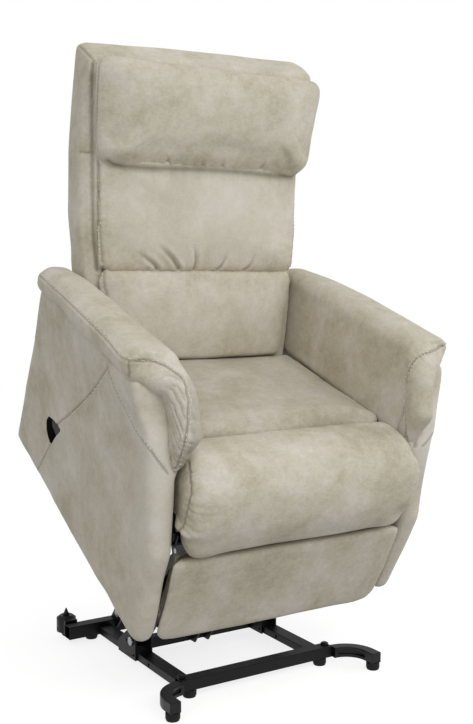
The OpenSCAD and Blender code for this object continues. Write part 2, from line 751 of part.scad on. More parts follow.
// Outline of the arm roll at one place along it
module roll_slice(y, outer, drop) {
  translate([0, y, arm_z(y) - drop]) rotate([90, 0, 0]) linear_extrude(1) hull() {
    translate([arm_in + roll_r, -roll_r]) circle(roll_r - drop / 2);
    translate([outer - 36, -33]) circle(34);
  }
}
module arm_pad() {
  inner_r = 10;
  inset = arm_in - arm_in_low;
  hull() {
    roll_slice(arm_front + 1, arm_out, 0);
    roll_slice((arm_front + arm_rear) / 2, arm_out - 4, 0);
    roll_slice(arm_rear - 24, arm_out - 24, 0);
    roll_slice(arm_rear, arm_out - 34, 8);
  }
  arm_front_form(0);
  // inner face down to the seat
  difference() {
    hull() for (p = [[-38, 434, 0], [-30, arm_z(0) - roll_r, inset],
                     [arm_rear - 26, arm_z(arm_rear) - roll_r, inset], [arm_rear - 26, 372, 0]])
      translate([arm_in_low + inner_r + p.z, p.x, p.y]) sphere(inner_r, $fn = 16);
    translate([panel_in - seat_gap, -200, 300]) cube([60, arm_rear + 220, 400]);
  }
}
module arm_pad_left() color(hide) at_chassis() arm_pad();
module arm_pad_right() color(hide) at_chassis() mirror([1, 0, 0]) arm_pad();

// ---------------------------------------------------------------- seat
web_t = 3;
rail_h = 26;
rail_out = 232;
board_t = 14;
board_low = roll_low + 18;
seat_len = (seat_rear - seat_front) / cos(seat_slope);
// A place on the seat's plane: distance back along it, and height above it
function seat_point(y, h) = seat_base + turn(-seat_slope, [y, h]);
function seat_under(y) = seat_base.y - (y - seat_base.x) * tan(seat_slope) - (rail_h + web_t) / cos(seat_slope);
module seat_plane() {
  translate([0, seat_base.x, seat_base.y]) rotate([-seat_slope, 0, 0]) children();
}

module seat_frame() color(wood) at_chassis() {
  rail_in = 206;
  rear = seat_len - 20;
  rear_thin = 9;
  seat_plane() translate([0, 0, -rail_h - web_t]) {
    both() translate([rail_in, board_t, 0]) cube([rail_out - rail_in, rear - board_t, rail_h]);
    translate([-rail_in, board_t + 6, 0]) cube([2 * rail_in, 25, rail_h]);
    translate([-rail_in, rear - 25, rear_thin]) cube([2 * rail_in, 25, rail_h - rear_thin]);
  }
  // front board that carries the roll
  translate([-rail_out, seat_front, board_low]) cube([2 * rail_out, board_t, seat_base.y - roll_low - 40]);
}

module seat_webs() color(web_grey) at_chassis() seat_plane()
  for (i = [-2:2]) translate([i * (web_w + 20) - web_w / 2, board_t + 6, -web_t])
    cube([web_w, seat_len - 26 - board_t, web_t]);

module seat_cushion() color(hide) at_chassis() {
  r = 26;
  low_front = r * (1 - sin(seat_slope)) / cos(seat_slope);
  padded_block(seat_half, r, [
    seat_point(low_front, r), seat_point(seat_len - r, r), seat_point(seat_len - r, seat_t - r),
    [seat_front + r, seat_top - r - 4]]);
}

module seat_roll() color(hide) at_chassis() {
  r = 30;
  back_y = seat_front - r;
  front_y = seat_front - roll_depth + r;
  crown = [[back_y, seat_top - r - 2], [back_y - 30, seat_top - r + 1], [front_y + 14, seat_top - r - 26],
           [front_y, seat_top - r - 74]];
  notch_z = 294;
  padded_block(roll_half, r, concat(crown, [[front_y - 2, notch_z + r + 14], [back_y, notch_z + r]]));
  padded_block(upper_x - 3, r, concat(crown, [[front_y + 4, roll_low + r], [back_y, roll_low + r + 6]]));
}

module rear_panel() color(hide) at_chassis()
  translate([-panel_in, 534, 62]) cube([2 * panel_in, 12, 220]);

module control_box() color(plastic_black) at_chassis()
  difference() {
    translate([-146, cross_front_y - 8, cross_z + 4]) cube([100, cross_rear_y - cross_front_y + 16, 36]);
    for (y = [cross_front_y, cross_rear_y]) cross_bar([y, cross_z], -160, 130, cross_d);
    // room for the legrest's torque tube
    cross_bar([leg_y, leg_z], -160, 130, 40);
    // power inlet
    cross_bar([40, cross_z + 20], -147, 16, 9);
  }

// ---------------------------------------------------------------- back
frame_in = 26;
frame_low = forward(back_point(424), frame_in, back_lean_low);
frame_mid = forward(back_kink, frame_in, back_lean_low);
frame_top = forward(back_point(970), frame_in, back_lean_top);
frame_x = 238;
module back_bars() {
  both() sideways(frame_x, 6) {
    link_2d(hinge, frame_low, 30);
    link_2d(frame_low, frame_mid, 22);
    link_2d(frame_mid, frame_top, 22);
  }
  for (p = [frame_low, frame_mid, frame_top]) cross_bar(p, -frame_x - 3, 2 * frame_x + 6, 18);
}
module back_frame() color(steel_black) at_chassis() {
  boss = chassis_x - frame_x - 1;
  crank_half = 14;
  difference() {
    union() {
      back_bars();
      both() cross_bar(hinge, frame_x, boss, 24);
      cross_bar(hinge, -frame_x - 3, 2 * frame_x + 6, 16);
      for (side = [-1, 1]) sideways(recline_x + side * crank_half - 2, 4) link_2d(hinge, crank, 22);
    }
    both() cross_bar(hinge, frame_x - 4, boss + 6, bolt_d + 2 * pin_clear);
    cross_bar(crank, recline_x - 20, 40, act_pin_d + 2 * 2.4);
  }
}

module back_hinge_bolts() color(steel_bright) at_chassis() both()
  stud_in(hinge, chassis_x + chassis_t, chassis_x + chassis_t - frame_x + 2, bolt_d, bolt_d, 1);

// Half the back's width at a height
function back_half_at(z) = z > 540 ? back_half
  : back_half_low + (back_half - back_half_low) * max(0, z - 372) / 168;
// Two balls at one place of the back: height on the rear surface, and distance forward
module back_post(z, d, r, inset) {
  p = forward(back_point(z), d, z > back_bend ? back_lean_top : back_lean_low);
  for (side = [-1, 1]) translate([side * (back_half_at(z) - inset - r), p.x, p.y]) sphere(r, $fn = soft_fn);
}
module back_shell() color(hide) at_chassis() {
  r = 14;
  foot_z = 330;
  foot_rear_z = 372;
  kink_z = back_bend - 2;
  difference() {
    union() {
      hull() {
        back_post(foot_z, shell_t - r, r, 0);
        back_post(foot_rear_z, r, r, 0);
        for (z = [545, kink_z], d = [r, shell_t - r]) back_post(z, d, r, 0);
      }
      hull() {
        back_post(kink_z, r, r, 0);
        back_post(kink_z, shell_t - r, r, 0);
        back_post(back_top - r, r, r, 0);
        back_post(back_top - r - 20, shell_t_top - r, r, 0);
      }
    }
    back_bars();
  }
}

cushion_r = 20;
// A cushion on the front of the shell, between two heights of the rear surface
module back_cushion(z0, z1, d0, d1, t, r, inset) {
  hull() for (end = [[z0, d0], [z1, d1]], d = [r, t - r]) back_post(end.x, end.y + d, r, inset);
}
module lumbar_cushion() color(hide) at_chassis()
  back_cushion(368, 505, shell_t, shell_t, cushion_t, cushion_r, 16);
module middle_cushion() color(hide) at_chassis()
  back_cushion(552, 731, shell_t, shell_t, cushion_t, cushion_r, 22);
module headrest_cushion() color(hide) at_chassis()
  back_cushion(806, 952, shell_t - 0.5, shell_t_top + 1, head_t, 34, 10);

// ---------------------------------------------------------------- legrest
module leg_swing_links() color(steel_black) at_chassis() {
  both() {
    difference() {
      sideways(swing_x, link_t) link_2d(leg_pivot, leg_knee, link_w);
      cross_bar(leg_knee, swing_x - 1, link_t + 2, rivet_d);
    }
    cross_bar(leg_knee, bracket_x, swing_x + link_t - bracket_x, rivet_d);
    // heel, inside the reach link
    sideways(bracket_x, link_t) link_2d(leg_knee, heel, link_w - 4);
    stud_in(heel, bracket_x + link_t, bracket_x + link_t - upper_x + 1, rivet_d - 1, rivet_d + 3, 2);
    cross_bar(leg_pivot, swing_x, chassis_x + chassis_t - swing_x, rivet_d + 4 - 2 * pin_clear);
  }
  cross_bar(leg_pivot, -swing_x, 2 * swing_x, 22);
}

module leg_control_links() color(steel_black) at_chassis() both() {
  hole = rivet_d + 2 * pin_clear;
  link(swing_x, link_t, leg_pivot_2, leg_knee_2, link_w, hole, hole);
}

module leg_reach_links() color(steel_black) at_chassis() both() {
  hole = rivet_d + 2 * pin_clear;
  difference() {
    sideways(reach_x, link_t) {
      link_2d(leg_toe, leg_knee, link_w);
      link_2d(leg_knee, leg_knee_2, link_w);
    }
    cross_bar(leg_toe, reach_x - 1, link_t + 2, hole);
    cross_bar(leg_knee, reach_x - 1, link_t + 2, hole);
  }
  // rivet to the control link
  stud(leg_knee_2, reach_x, swing_x + link_t - reach_x + 1, rivet_d, rivet_d + 4, 2);
}

module leg_upper_links() color(steel_black) at_chassis() both()
  link(upper_x, link_t, heel, upper_end, link_w - 2, rivet_d - 1 + 2 * pin_clear, rivet_d - 1 + 2 * 1.6);

module footrest_brackets() color(steel_black) at_chassis() both() {
  board_y = foot_front + foot_pad_t + 12;
  sideways(bracket_x, link_t) {
    link_2d(leg_toe, toe_2, link_w);
    polygon([[board_y, 90], [leg_toe.x, leg_toe.y - 10], [leg_toe.x, leg_toe.y + 10], [board_y, 190]]);
  }
  translate([bracket_x - 16, board_y, 90]) cube([16 + link_t, 4, 100]);
  stud(leg_toe, bracket_x, reach_x + link_t - bracket_x + 1, rivet_d, rivet_d + 4, 1);
  stud_in(toe_2, bracket_x + link_t, bracket_x + link_t - upper_x + 1, rivet_d - 1, rivet_d + 5, 2);
}

module footrest_board() color(wood) at_chassis()
  translate([-foot_half + 16, foot_front + foot_pad_t, 72]) cube([2 * foot_half - 32, 12, foot_top - 84]);

module footrest_panel() color(hide) at_chassis() {
  r = 10;
  corner = 48;
  low = 41;
  hull() both() for (y = [foot_front + r, foot_front + foot_pad_t - r]) {
    translate([foot_half - r, y, foot_top - r]) sphere(r, $fn = soft_fn);
    for (a = [0:30:90]) translate([foot_half - corner + (corner - r) * cos(a), y,
                                   low + corner - (corner - r) * sin(a)]) sphere(r, $fn = 16);
  }
}

// ---------------------------------------------------------------- handset
// Handset frame: +X runs along its length out of the pocket, +Z away from the panel
module at_pocket(slide) {
  translate([-panel_out(hand_mouth.y), hand_mouth.x, hand_mouth.y])
    rotate([hand_rise, 0, 0]) rotate([0, 0, hand_flare]) rotate([-90, 0, 90])
      translate([hand_out - hand_l + slide, 0, -hand_t - hand_depth]) children();
}
module handset_block(grow) {
  r = 12;
  translate([0, 0, -grow]) linear_extrude(hand_t + 2 * grow) hull() for (y = [r - hand_w / 2, hand_w / 2 - r]) {
    translate([r, y]) circle(r + grow);
    translate([hand_l - r, y]) circle(r + grow);
  }
}
button_pitch = [24, 22];
button_at = 38;
button_rise = 1.5;
module button_place(column, row) {
  at_pocket(0) translate([button_at + row * button_pitch.x, (column - 0.5) * button_pitch.y, 0]) children();
}
module button_form(grow, h) {
  linear_extrude(h) offset(3 + grow) square([button_l - 6, button_w - 6], center = true);
}
module handset() color(plastic_black) at_chassis() difference() {
  at_pocket(0) handset_block(0);
  for (column = [0, 1], row = [0, 1]) button_place(column, row) translate([0, 0, hand_t - 5]) button_form(0.3, 10);
}
module button(column, row) {
  button_place(column, row) translate([0, 0, hand_t - 5 + button_travel + 0.3])
    button_form(0, 5 + button_rise - button_travel - 0.3);
}
module button_raise() color(steel_bright) at_chassis() button(0, 1);
module button_lower() color(steel_bright) at_chassis() button(1, 1);
module button_recline() color(steel_bright) at_chassis() button(0, 0);
module button_upright() color(steel_bright) at_chassis() button(1, 0);

front_rail();
rear_rail();
side_rail_left();
side_rail_right();
centre_rail();
lift_bracket_left();
lift_bracket_right();
rear_pivot_ears();
front_foot_left();
front_foot_right();
foot_plugs();
floor_pads();
castor_housing_left();
castor_housing_right();
castor_knobs();
castor_axles();
castor_wheel_left();
castor_wheel_right();
base_pivot_bolts();
lower_lift_arms();
upper_lift_arms();
lift_motor();
lift_rod();
chassis_plates();
chassis_tubes();
hanger_plates();
hanger_bolts();
side_panel_left();
side_panel_right();
arm_pad_left();
arm_pad_right();
seat_frame();
seat_webs();
seat_cushion();
seat_roll();
rear_panel();
control_box();
recline_motor();
recline_rod();
back_frame();
back_hinge_bolts();
back_shell();
lumbar_cushion();
middle_cushion();
headrest_cushion();
leg_swing_links();
leg_control_links();
leg_reach_links();
leg_upper_links();
footrest_brackets();
footrest_board();
footrest_panel();
handset();
button_raise();
button_lower();
button_recline();
button_upright();
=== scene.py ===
import json
import math

import bmesh
import bpy
import numpy as np
from mathutils import Matrix, Vector, noise
from mathutils.bvhtree import BVHTree
from mathutils.kdtree import KDTree


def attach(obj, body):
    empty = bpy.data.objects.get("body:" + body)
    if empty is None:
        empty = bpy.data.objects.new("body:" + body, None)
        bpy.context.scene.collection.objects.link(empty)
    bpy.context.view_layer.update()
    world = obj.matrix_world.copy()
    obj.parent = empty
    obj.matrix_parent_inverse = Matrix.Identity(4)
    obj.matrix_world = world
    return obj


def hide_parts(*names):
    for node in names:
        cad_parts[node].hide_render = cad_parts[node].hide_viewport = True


bl_info = {
    "name": "Lift recliner finish",
    "version": (1, 0, 0),
    "blender": (4, 5, 0),
    "location": "View3D > Sidebar > Recliner",
    "description": "Upholstery, steelwork finishes and stage of a lift recliner",
    "category": "Object",
}

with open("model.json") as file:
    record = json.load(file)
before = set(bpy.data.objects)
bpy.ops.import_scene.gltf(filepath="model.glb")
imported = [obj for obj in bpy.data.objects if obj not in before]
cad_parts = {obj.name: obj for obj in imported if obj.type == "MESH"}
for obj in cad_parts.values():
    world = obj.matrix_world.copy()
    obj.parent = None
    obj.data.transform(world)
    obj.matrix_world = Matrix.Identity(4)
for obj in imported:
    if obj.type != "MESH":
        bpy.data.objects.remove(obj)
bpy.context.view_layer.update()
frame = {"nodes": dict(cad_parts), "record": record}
JOINTS = {j["name"]: j for j in frame["record"]["behaviour"]["joints"]}

# The chair's body leans forward by LEAN about the pivot that carries it.  Soft pieces are
# shaped in the chair's own upright coordinates and then carried to the raised place.
LEAN = math.radians(27.3)
PIVOT_UP = Vector(JOINTS["chassis_tilt"]["pos_m"])
PIVOT_LOW = Vector((0, -0.0555, 0.093))
RAISE = Matrix.Translation(PIVOT_UP) @ Matrix.Rotation(LEAN, 4, "X") @ Matrix.Translation(-PIVOT_LOW)
LOWER = RAISE.inverted()


# ------------------------------------------------------------------ colours and nodes
def colour(hex_value):
    """Linear colour from an sRGB hex value such as "a59d8b"."""
    parts = [int(hex_value[i:i + 2], 16) / 255 for i in (0, 2, 4)]
    return [p / 12.92 if p <= 0.04045 else ((p + 0.055) / 1.055) ** 2.4 for p in parts] + [1.0]


def grey(value):
    """A colour without hue, from its linear value."""
    return (value, value, value, 1)


def add(tree, kind, settings=None, **links):
    """Adds a node; settings are attributes or input values, links are sockets into its inputs."""
    node = tree.nodes.new("ShaderNode" + kind)
    for key, value in (settings or {}).items():
        if isinstance(key, str) and hasattr(node, key):
            setattr(node, key, value)
        else:
            node.inputs[key].default_value = value
    for key, socket in links.items():
        # _0, _1 and _2 are inputs by their number
        tree.links.new(socket, node.inputs[int(key[1:]) if key[0] == "_" else key])
    return node


def ramp(tree, fac, stops):
    """Colour by (position, hex) stops."""
    node = add(tree, "ValToRGB", Fac=fac)
    stops = [(position, colour(hex_value)) for position, hex_value in stops]
    elements = node.color_ramp.elements
    elements[0].position, elements[0].color = stops[0]
    elements[1].position, elements[1].color = stops[-1]
    for position, tone in stops[1:-1]:
        elements.new(position).color = tone
    return node.outputs[0]


def noise_value(tree, where, scale, detail, roughness=0.5, distortion=0.0):
    """Value of a noise texture; three scales draw its grain out along the axes."""
    if isinstance(scale, tuple):
        where = add(tree, "Mapping", {"Scale": scale}, Vector=where).outputs[0]
        scale = 1.0
    settings = {"Scale": scale, "Detail": detail, "Roughness": roughness, "Distortion": distortion}
    return add(tree, "TexNoise", settings, Vector=where).outputs["Fac"]


def plus(tree, value, weight, base):
    """A value times its weight, added to a base."""
    return add(tree, "Math", {"operation": "MULTIPLY_ADD", 1: weight}, _0=value, _2=base).outputs[0]


def marked(tree, name):
    """How much each point carries of an attribute, such as "seam"."""
    return add(tree, "Attribute", {"attribute_name": name}).outputs["Fac"]


def new_material(name):
    """A material with a Principled shader, and the place in Object coordinates."""
    mat = bpy.data.materials.new(name)
    mat.use_nodes = True
    tree = mat.node_tree
    out = output_of(tree, "Material")
    shader = add(tree, "BsdfPrincipled")
    tree.links.new(shader.outputs[0], out.inputs["Surface"])
    return mat, tree, shader, add(tree, "TexCoord").outputs["Object"]


def output_of(tree, kind):
    """Empties a node tree and gives it its output."""
    tree.nodes.clear()
    return tree.nodes.new("ShaderNodeOutput" + kind)


def tint(tree, shader, texture, *stops):
    """Base colour from a texture by (position, hex) stops."""
    tree.links.new(ramp(tree, texture, stops), shader.inputs["Base Color"])


def spread_roughness(tree, shader, texture, low, high):
    """Roughness from low to high over a texture."""
    spread = add(tree, "MapRange", {"To Min": low, "To Max": high}, Value=texture)
    tree.links.new(spread.outputs[0], shader.inputs["Roughness"])


def relief(tree, shader, height, strength, distance):
    """Bump from a height; the distance is in metres."""
    bump = add(tree, "Bump", {"Strength": strength, "Distance": distance}, Height=height)
    tree.links.new(bump.outputs[0], shader.inputs["Normal"])


def microfibre(settings):
    """Brushed microfibre with a leather look: cloudy tone, painted pale highlights on the crowns, painted
    shade in seams and folds, fine crosswise grain.
    """
    mat, tree, shader, where = new_material("brushed_microfibre")
    # clouds of 100 mm, broken up by patches of 20 mm and a mottle of 6 mm
    clouds = noise_value(tree, where, 8.0, 4.0, 0.55, 0.4)
    patches = noise_value(tree, where, 45.0, 3.0, 0.6)
    mottle = noise_value(tree, where, 150.0, 3.0, 0.6)
    # nap drawn out sideways, 10 mm long and 2 mm high
    nap = noise_value(tree, where, (95, 260, 460), 4.0, 0.6)
    fine = plus(tree, nap, 1.0, mottle)
    mixed = plus(tree, fine, 0.34, plus(tree, patches, 0.5, clouds))
    halved = add(tree, "Math", {"operation": "MULTIPLY", 1: 0.5}, _0=mixed).outputs[0]
    stops = [(0.42, settings.shade_hex), (0.54, settings.body_hex), (0.66, settings.crown_hex)]
    # seams and folds hold painted shade, and the crowns get painted pale highlights
    highlighted = add(tree, "MixRGB", {"blend_type": "MIX", "Color2": colour(settings.painted_highlight_hex)},
               Fac=marked(tree, "crown"), Color1=ramp(tree, halved, stops))
    dark = add(tree, "MixRGB", {"blend_type": "MULTIPLY", "Color2": colour(settings.fold_shade_hex)},
               Fac=marked(tree, "seam"), Color1=highlighted.outputs[0])
    tree.links.new(dark.outputs[0], shader.inputs["Base Color"])
    spread_roughness(tree, shader, patches, 0.50, 0.70)
    shader.inputs["Specular IOR Level"].default_value = 0.34
    shader.inputs["Sheen Weight"].default_value = 0.08
    shader.inputs["Sheen Roughness"].default_value = 0.45
    shader.inputs["Sheen Tint"].default_value = colour("e8e2d4")
    # grain: soft pebbles of 3 mm, creases of 20 mm and the nap
    pebbles = {"feature": "SMOOTH_F1", "Scale": 330.0, "Smoothness": 0.6}
    grain = add(tree, "TexVoronoi", pebbles, Vector=where)
    height = plus(tree, patches, 0.9, plus(tree, grain.outputs["Distance"], 0.6, nap))
    relief(tree, shader, height, 0.35, 0.0014)
    return mat


def sewing_thread(settings):
    """Bonded polyester thread: a shade paler than the cover, with a soft shine along the twist."""
    mat, tree, shader, where = new_material("bonded_thread")
    twist = noise_value(tree, where, 900.0, 2.0)
    tint(tree, shader, twist, (0.3, settings.body_hex), (0.7, settings.thread_hex))
    shader.inputs["Roughness"].default_value = 0.5
    return mat


def powder_coated_steel():
    """Black satin powder coat: soft highlights with a slight orange peel of 1.5 mm."""
    mat, tree, shader, where = new_material("powder_coated_steel")
    dust = noise_value(tree, where, 25.0, 5.0, 0.65)
    tint(tree, shader, dust, (0.35, "060607"), (0.8, "101012"))
    spread_roughness(tree, shader, dust, 0.37, 0.54)
    shader.inputs["Specular IOR Level"].default_value = 0.22
    relief(tree, shader, noise_value(tree, where, 650.0, 2.0), 0.12, 0.0004)
    return mat


def zinc_plated_steel():
    """Zinc-plated bolts and rods: bright, faintly brushed along their length."""
    mat, tree, shader, where = new_material("zinc_plated_steel")
    lines = noise_value(tree, where, (90, 900, 900), 3.0)
    tint(tree, shader, lines, (0.3, "7e8083"), (0.75, "b4b5b4"))
    shader.inputs["Metallic"].default_value = 1.0
    spread_roughness(tree, shader, lines, 0.24, 0.42)
    relief(tree, shader, lines, 0.08, 0.0003)
    return mat


def moulded_plastic(name, base, pale, roughness, shine=0.3, depth=0.12):
    """Moulded plastic or rubber: spark-eroded texture of 1.2 mm and a slight change of tone."""
    mat, tree, shader, where = new_material(name)
    broad = noise_value(tree, where, 30.0, 4.0)
    tint(tree, shader, broad, (0.35, base), (0.8, pale))
    spread_roughness(tree, shader, broad, roughness - 0.04, roughness + 0.08)
    shader.inputs["Specular IOR Level"].default_value = shine
    relief(tree, shader, noise_value(tree, where, 1000.0 / 1.2, 2.0), depth, 0.0003)
    return mat


def plywood():
    """Raw plywood: long straight grain along the chair's width, pale and dark growth lines."""
    mat, tree, shader, where = new_material("raw_plywood")
    grain = noise_value(tree, where, (3, 90, 90), 6.0, distortion=0.4)
    tint(tree, shader, grain, (0.3, "a9835a"), (0.55, "c7a476"), (0.8, "dcc198"))
    shader.inputs["Roughness"].default_value = 0.7
    relief(tree, shader, grain, 0.15, 0.0005)
    return mat


def woven_webbing():
    """Woven elastic webbing: 3 mm threads across and along, dark grey."""
    mat, tree, shader, where = new_material("woven_webbing")
    checks = {"Scale": 330.0, "Color1": grey(0.2), "Color2": grey(0.8)}
    weave = add(tree, "TexChecker", checks, Vector=where).outputs["Fac"]
    tint(tree, shader, weave, (0.2, "3a3a3c"), (0.9, "5a5a5c"))
    shader.inputs["Roughness"].default_value = 0.85
    relief(tree, shader, weave, 0.4, 0.0006)
    return mat


def lining_cloth():
    """Non-woven lining cloth on the chair's back: grey-beige, matt, felted fibres of 4 mm."""
    mat, tree, shader, where = new_material("lining_cloth")
    fibres = noise_value(tree, where, 260.0, 5.0, 0.7)
    tint(tree, shader, fibres, (0.3, "8c8474"), (0.75, "a39b8a"))
    shader.inputs["Roughness"].default_value = 0.9
    relief(tree, shader, fibres, 0.3, 0.0006)
    return mat


shared = {}


def cover_material(context):
    """The one cover material that every padded piece shares."""
    if "cover" not in shared:
        shared["cover"] = microfibre(context.scene.recliner_cover)
    return shared["cover"]


def thread_material(context):
    """The one thread that every row of stitches shares."""
    if "thread" not in shared:
        shared["thread"] = sewing_thread(context.scene.recliner_cover)
    return shared["thread"]


# ------------------------------------------------------------------ object helpers
SIDES = ((-1, "right"), (1, "left"))
# distance between the points of a soft piece before it is refined (m)
COARSE, MEDIUM, FINE = 0.007, 0.006, 0.005


def only(ob):
    """Selects this object alone and makes it active."""
    if bpy.context.object and bpy.context.object.mode != "OBJECT":
        bpy.ops.object.mode_set(mode="OBJECT")
    bpy.ops.object.select_all(action="DESELECT")
    ob.select_set(True)
    bpy.context.view_layer.objects.active = ob


def linked(name, data):
    """A new object in the scene."""
    ob = bpy.data.objects.new(name, data)
    bpy.context.collection.objects.link(ob)
    return ob


def apply_modifier(ob, kind, **settings):
    """Adds a modifier, sets it and keeps its result."""
    only(ob)
    mod = ob.modifiers.new(kind.lower(), kind)
    for key, value in settings.items():
        setattr(mod, key, value)
    bpy.ops.object.modifier_apply(modifier=mod.name)


def vectors(mesh, key):
    """Places ("co") or normals ("normal") of a mesh, a row for each point."""
    values = np.empty(len(mesh.vertices) * 3, dtype=np.float32)
    mesh.vertices.foreach_get(key, values)
    return values.reshape(-1, 3).astype(np.float64)


def places(ob):
    """Where the points are, in metres."""
    return vectors(ob.data, "co")


def normals(ob):
    """Which way the surface faces at each point."""
    return vectors(ob.data, "normal")


def set_places(ob, co):
    """Moves the points to new places."""
    ob.data.vertices.foreach_set("co", co.astype(np.float32).ravel())
    ob.data.update()


def raise_mark(ob, name, value, rows=slice(None)):
    """Raises a 0 to 1 attribute of the points to a value, on all rows or on some."""
    layer = ob.data.attributes.get(name) or ob.data.attributes.new(name, "FLOAT", "POINT")
    marks = np.zeros(len(ob.data.vertices), dtype=np.float32)
    layer.data.foreach_get("value", marks)
    marks[rows] = np.maximum(marks[rows], value)
    layer.data.foreach_set("value", np.clip(marks, 0, 1))


def open_shape(mesh):
    """A mesh, ready to edit."""
    shape = bmesh.new()
    shape.from_mesh(mesh)
    return shape


def close_shape(shape, mesh):
    """Turns the faces outward and writes the shape to its mesh."""
    bmesh.ops.recalc_face_normals(shape, faces=shape.faces)
    shape.to_mesh(mesh)
    shape.free()


def soft_copy(name, node, voxel, smooth, whole=False):
    """A soft piece starts as an even copy of its CAD solid, in the chair's own coordinates.

    With whole, notches that a neighbour presses into the solid are filled first."""
    ob = linked(name, frame["nodes"][node].data.copy())
    ob.data.materials.clear()
    ob.data.transform(LOWER)
    shape = open_shape(ob.data)
    bmesh.ops.remove_doubles(shape, verts=shape.verts, dist=1e-5)
    if whole:
        corners = [v.co.copy() for v in shape.verts]
        shape.clear()
        for corner in corners:
            shape.verts.new(corner)
        bmesh.ops.convex_hull(shape, input=shape.verts)
        bmesh.ops.delete(shape, geom=[v for v in shape.verts if not v.link_faces], context="VERTS")
    close_shape(shape, ob.data)
    apply_modifier(ob, "REMESH", mode="VOXEL", voxel_size=voxel, adaptivity=0.0)
    apply_modifier(ob, "SMOOTH", factor=0.5, iterations=smooth)
    return ob


def warp(ob, move):
    """Moves every point by a function of its place, chair coordinates in metres."""
    set_places(ob, move(places(ob)))


def swell(ob, distance):
    """Grows the piece along its normals, to make up for what smoothing took."""
    set_places(ob, places(ob) + normals(ob) * distance)


def refine(ob):
    """Doubles the number of points along each edge, rounding as it goes."""
    apply_modifier(ob, "SUBSURF", levels=1, render_levels=1)


def finish_soft(ob, material, body, nodes):
    ob.data.transform(RAISE)
    for polygon in ob.data.polygons:
        polygon.use_smooth = True
    if not ob.data.materials:
        ob.data.materials.append(material)
    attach(ob, body)
    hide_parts(*nodes)


def smooth_line(points, step):
    """Even points along a smooth curve through the given ones, in metres."""
    p = np.array(points, dtype=float)
    ext = np.vstack([2 * p[0] - p[1], p, 2 * p[-1] - p[-2]])
    out = []
    for i in range(1, len(ext) - 2):
        a, b, c, d = ext[i - 1], ext[i], ext[i + 1], ext[i + 2]
        n = max(2, int(np.linalg.norm(c - b) / step))
        t = np.linspace(0, 1, n, endpoint=False)[:, None]
        out.append(0.5 * (2 * b + (c - a) * t + (2 * a - 5 * b + 4 * c - d) * t ** 2
                          + (3 * b - a - 3 * c + d) * t ** 3))
    out.append(p[-1:])
    return np.vstack(out)


def on_surface(ob, points, step=0.003):
    """Even points of a smooth curve, laid on the piece's surface."""
    surface = BVHTree.FromObject(ob, bpy.context.evaluated_depsgraph_get())
    return np.array([surface.find_nearest(Vector(q))[0] for q in smooth_line(points, step=step)])


def lengths_along(line):
    """The way from a line's start to each of its points."""
    return np.r_[0, np.cumsum(np.linalg.norm(np.diff(line, axis=0), axis=1))]


def near_line(co, line):
    """Distance of each place to a line of points, and the way along it."""
    tree = KDTree(len(line))
    for i, p in enumerate(line):
        tree.insert(p, i)
    tree.balance()
    steps = lengths_along(line)
    index = np.empty(len(co), dtype=int)
    gap = np.empty(len(co))
    for k, c in enumerate(co):
        _, i, d = tree.find(c)
        index[k], gap[k] = i, d
    # distance to the segment, not only to its points
    best = gap.copy()
    for o in (-1, 0):
        i0 = np.clip(index + o, 0, len(line) - 2)
        a, b = line[i0], line[i0 + 1]
        t = np.clip(((co - a) * (b - a)).sum(1) / np.maximum(((b - a) ** 2).sum(1), 1e-12), 0, 1)
        best = np.minimum(best, np.linalg.norm(co - a - (b - a) * t[:, None], axis=1))
    return best, steps[index]


def wave(s, spacing, seed):
    """An uneven wave along a length, -1 to 1, with about that spacing."""
    rng = np.random.default_rng(seed)
    out = np.zeros_like(s)
    for k, f in enumerate((0.72, 1.0, 1.37)):
        out += np.sin(2 * np.pi * s * f / spacing + rng.uniform(0, 6.28)) * (0.5, 0.9, 0.6)[k]
    return out / 1.4


def creases(s, spacing, seed):
    """Uneven gathers along a length: 0 in each sharp valley, 1 on each rounded crown."""
    phase = s / spacing + 0.30 * wave(s, spacing * 3.1, seed)
    return np.abs(np.sin(np.pi * phase)) ** 0.6


def seam(ob, points, depth, width, mark=0.5, ripple=0.0, reach=0.03, spacing=0.02, seed=1, puff=0.0):
    """Sews a line: a groove with painted shade, puckers that die away from it, and fabric that swells beside
    it.
    """
    co, nr = places(ob), normals(ob)
    line = on_surface(ob, points)
    lo, hi = line.min(0) - reach - 0.02, line.max(0) + reach + 0.02
    near = np.where(((co > lo) & (co < hi)).all(1))[0]
    if not len(near):
        return
    d, s = near_line(co[near], line)
    move = -depth * bell(d, width)
    if puff:
        move += puff * bell(d - 2.2 * width, 1.2 * width)
    if ripple:
        fade = np.exp(-(d / reach) ** 1.5) * (1 - bell(d, width * 0.8) * 0.5)
        move += ripple * (2 * creases(s, spacing, seed) - 1.4) * fade
    co[near] += nr[near] * move[:, None]
    set_places(ob, co)
    # painted shade along the groove
    raise_mark(ob, "seam", mark * bell(d, width), near)


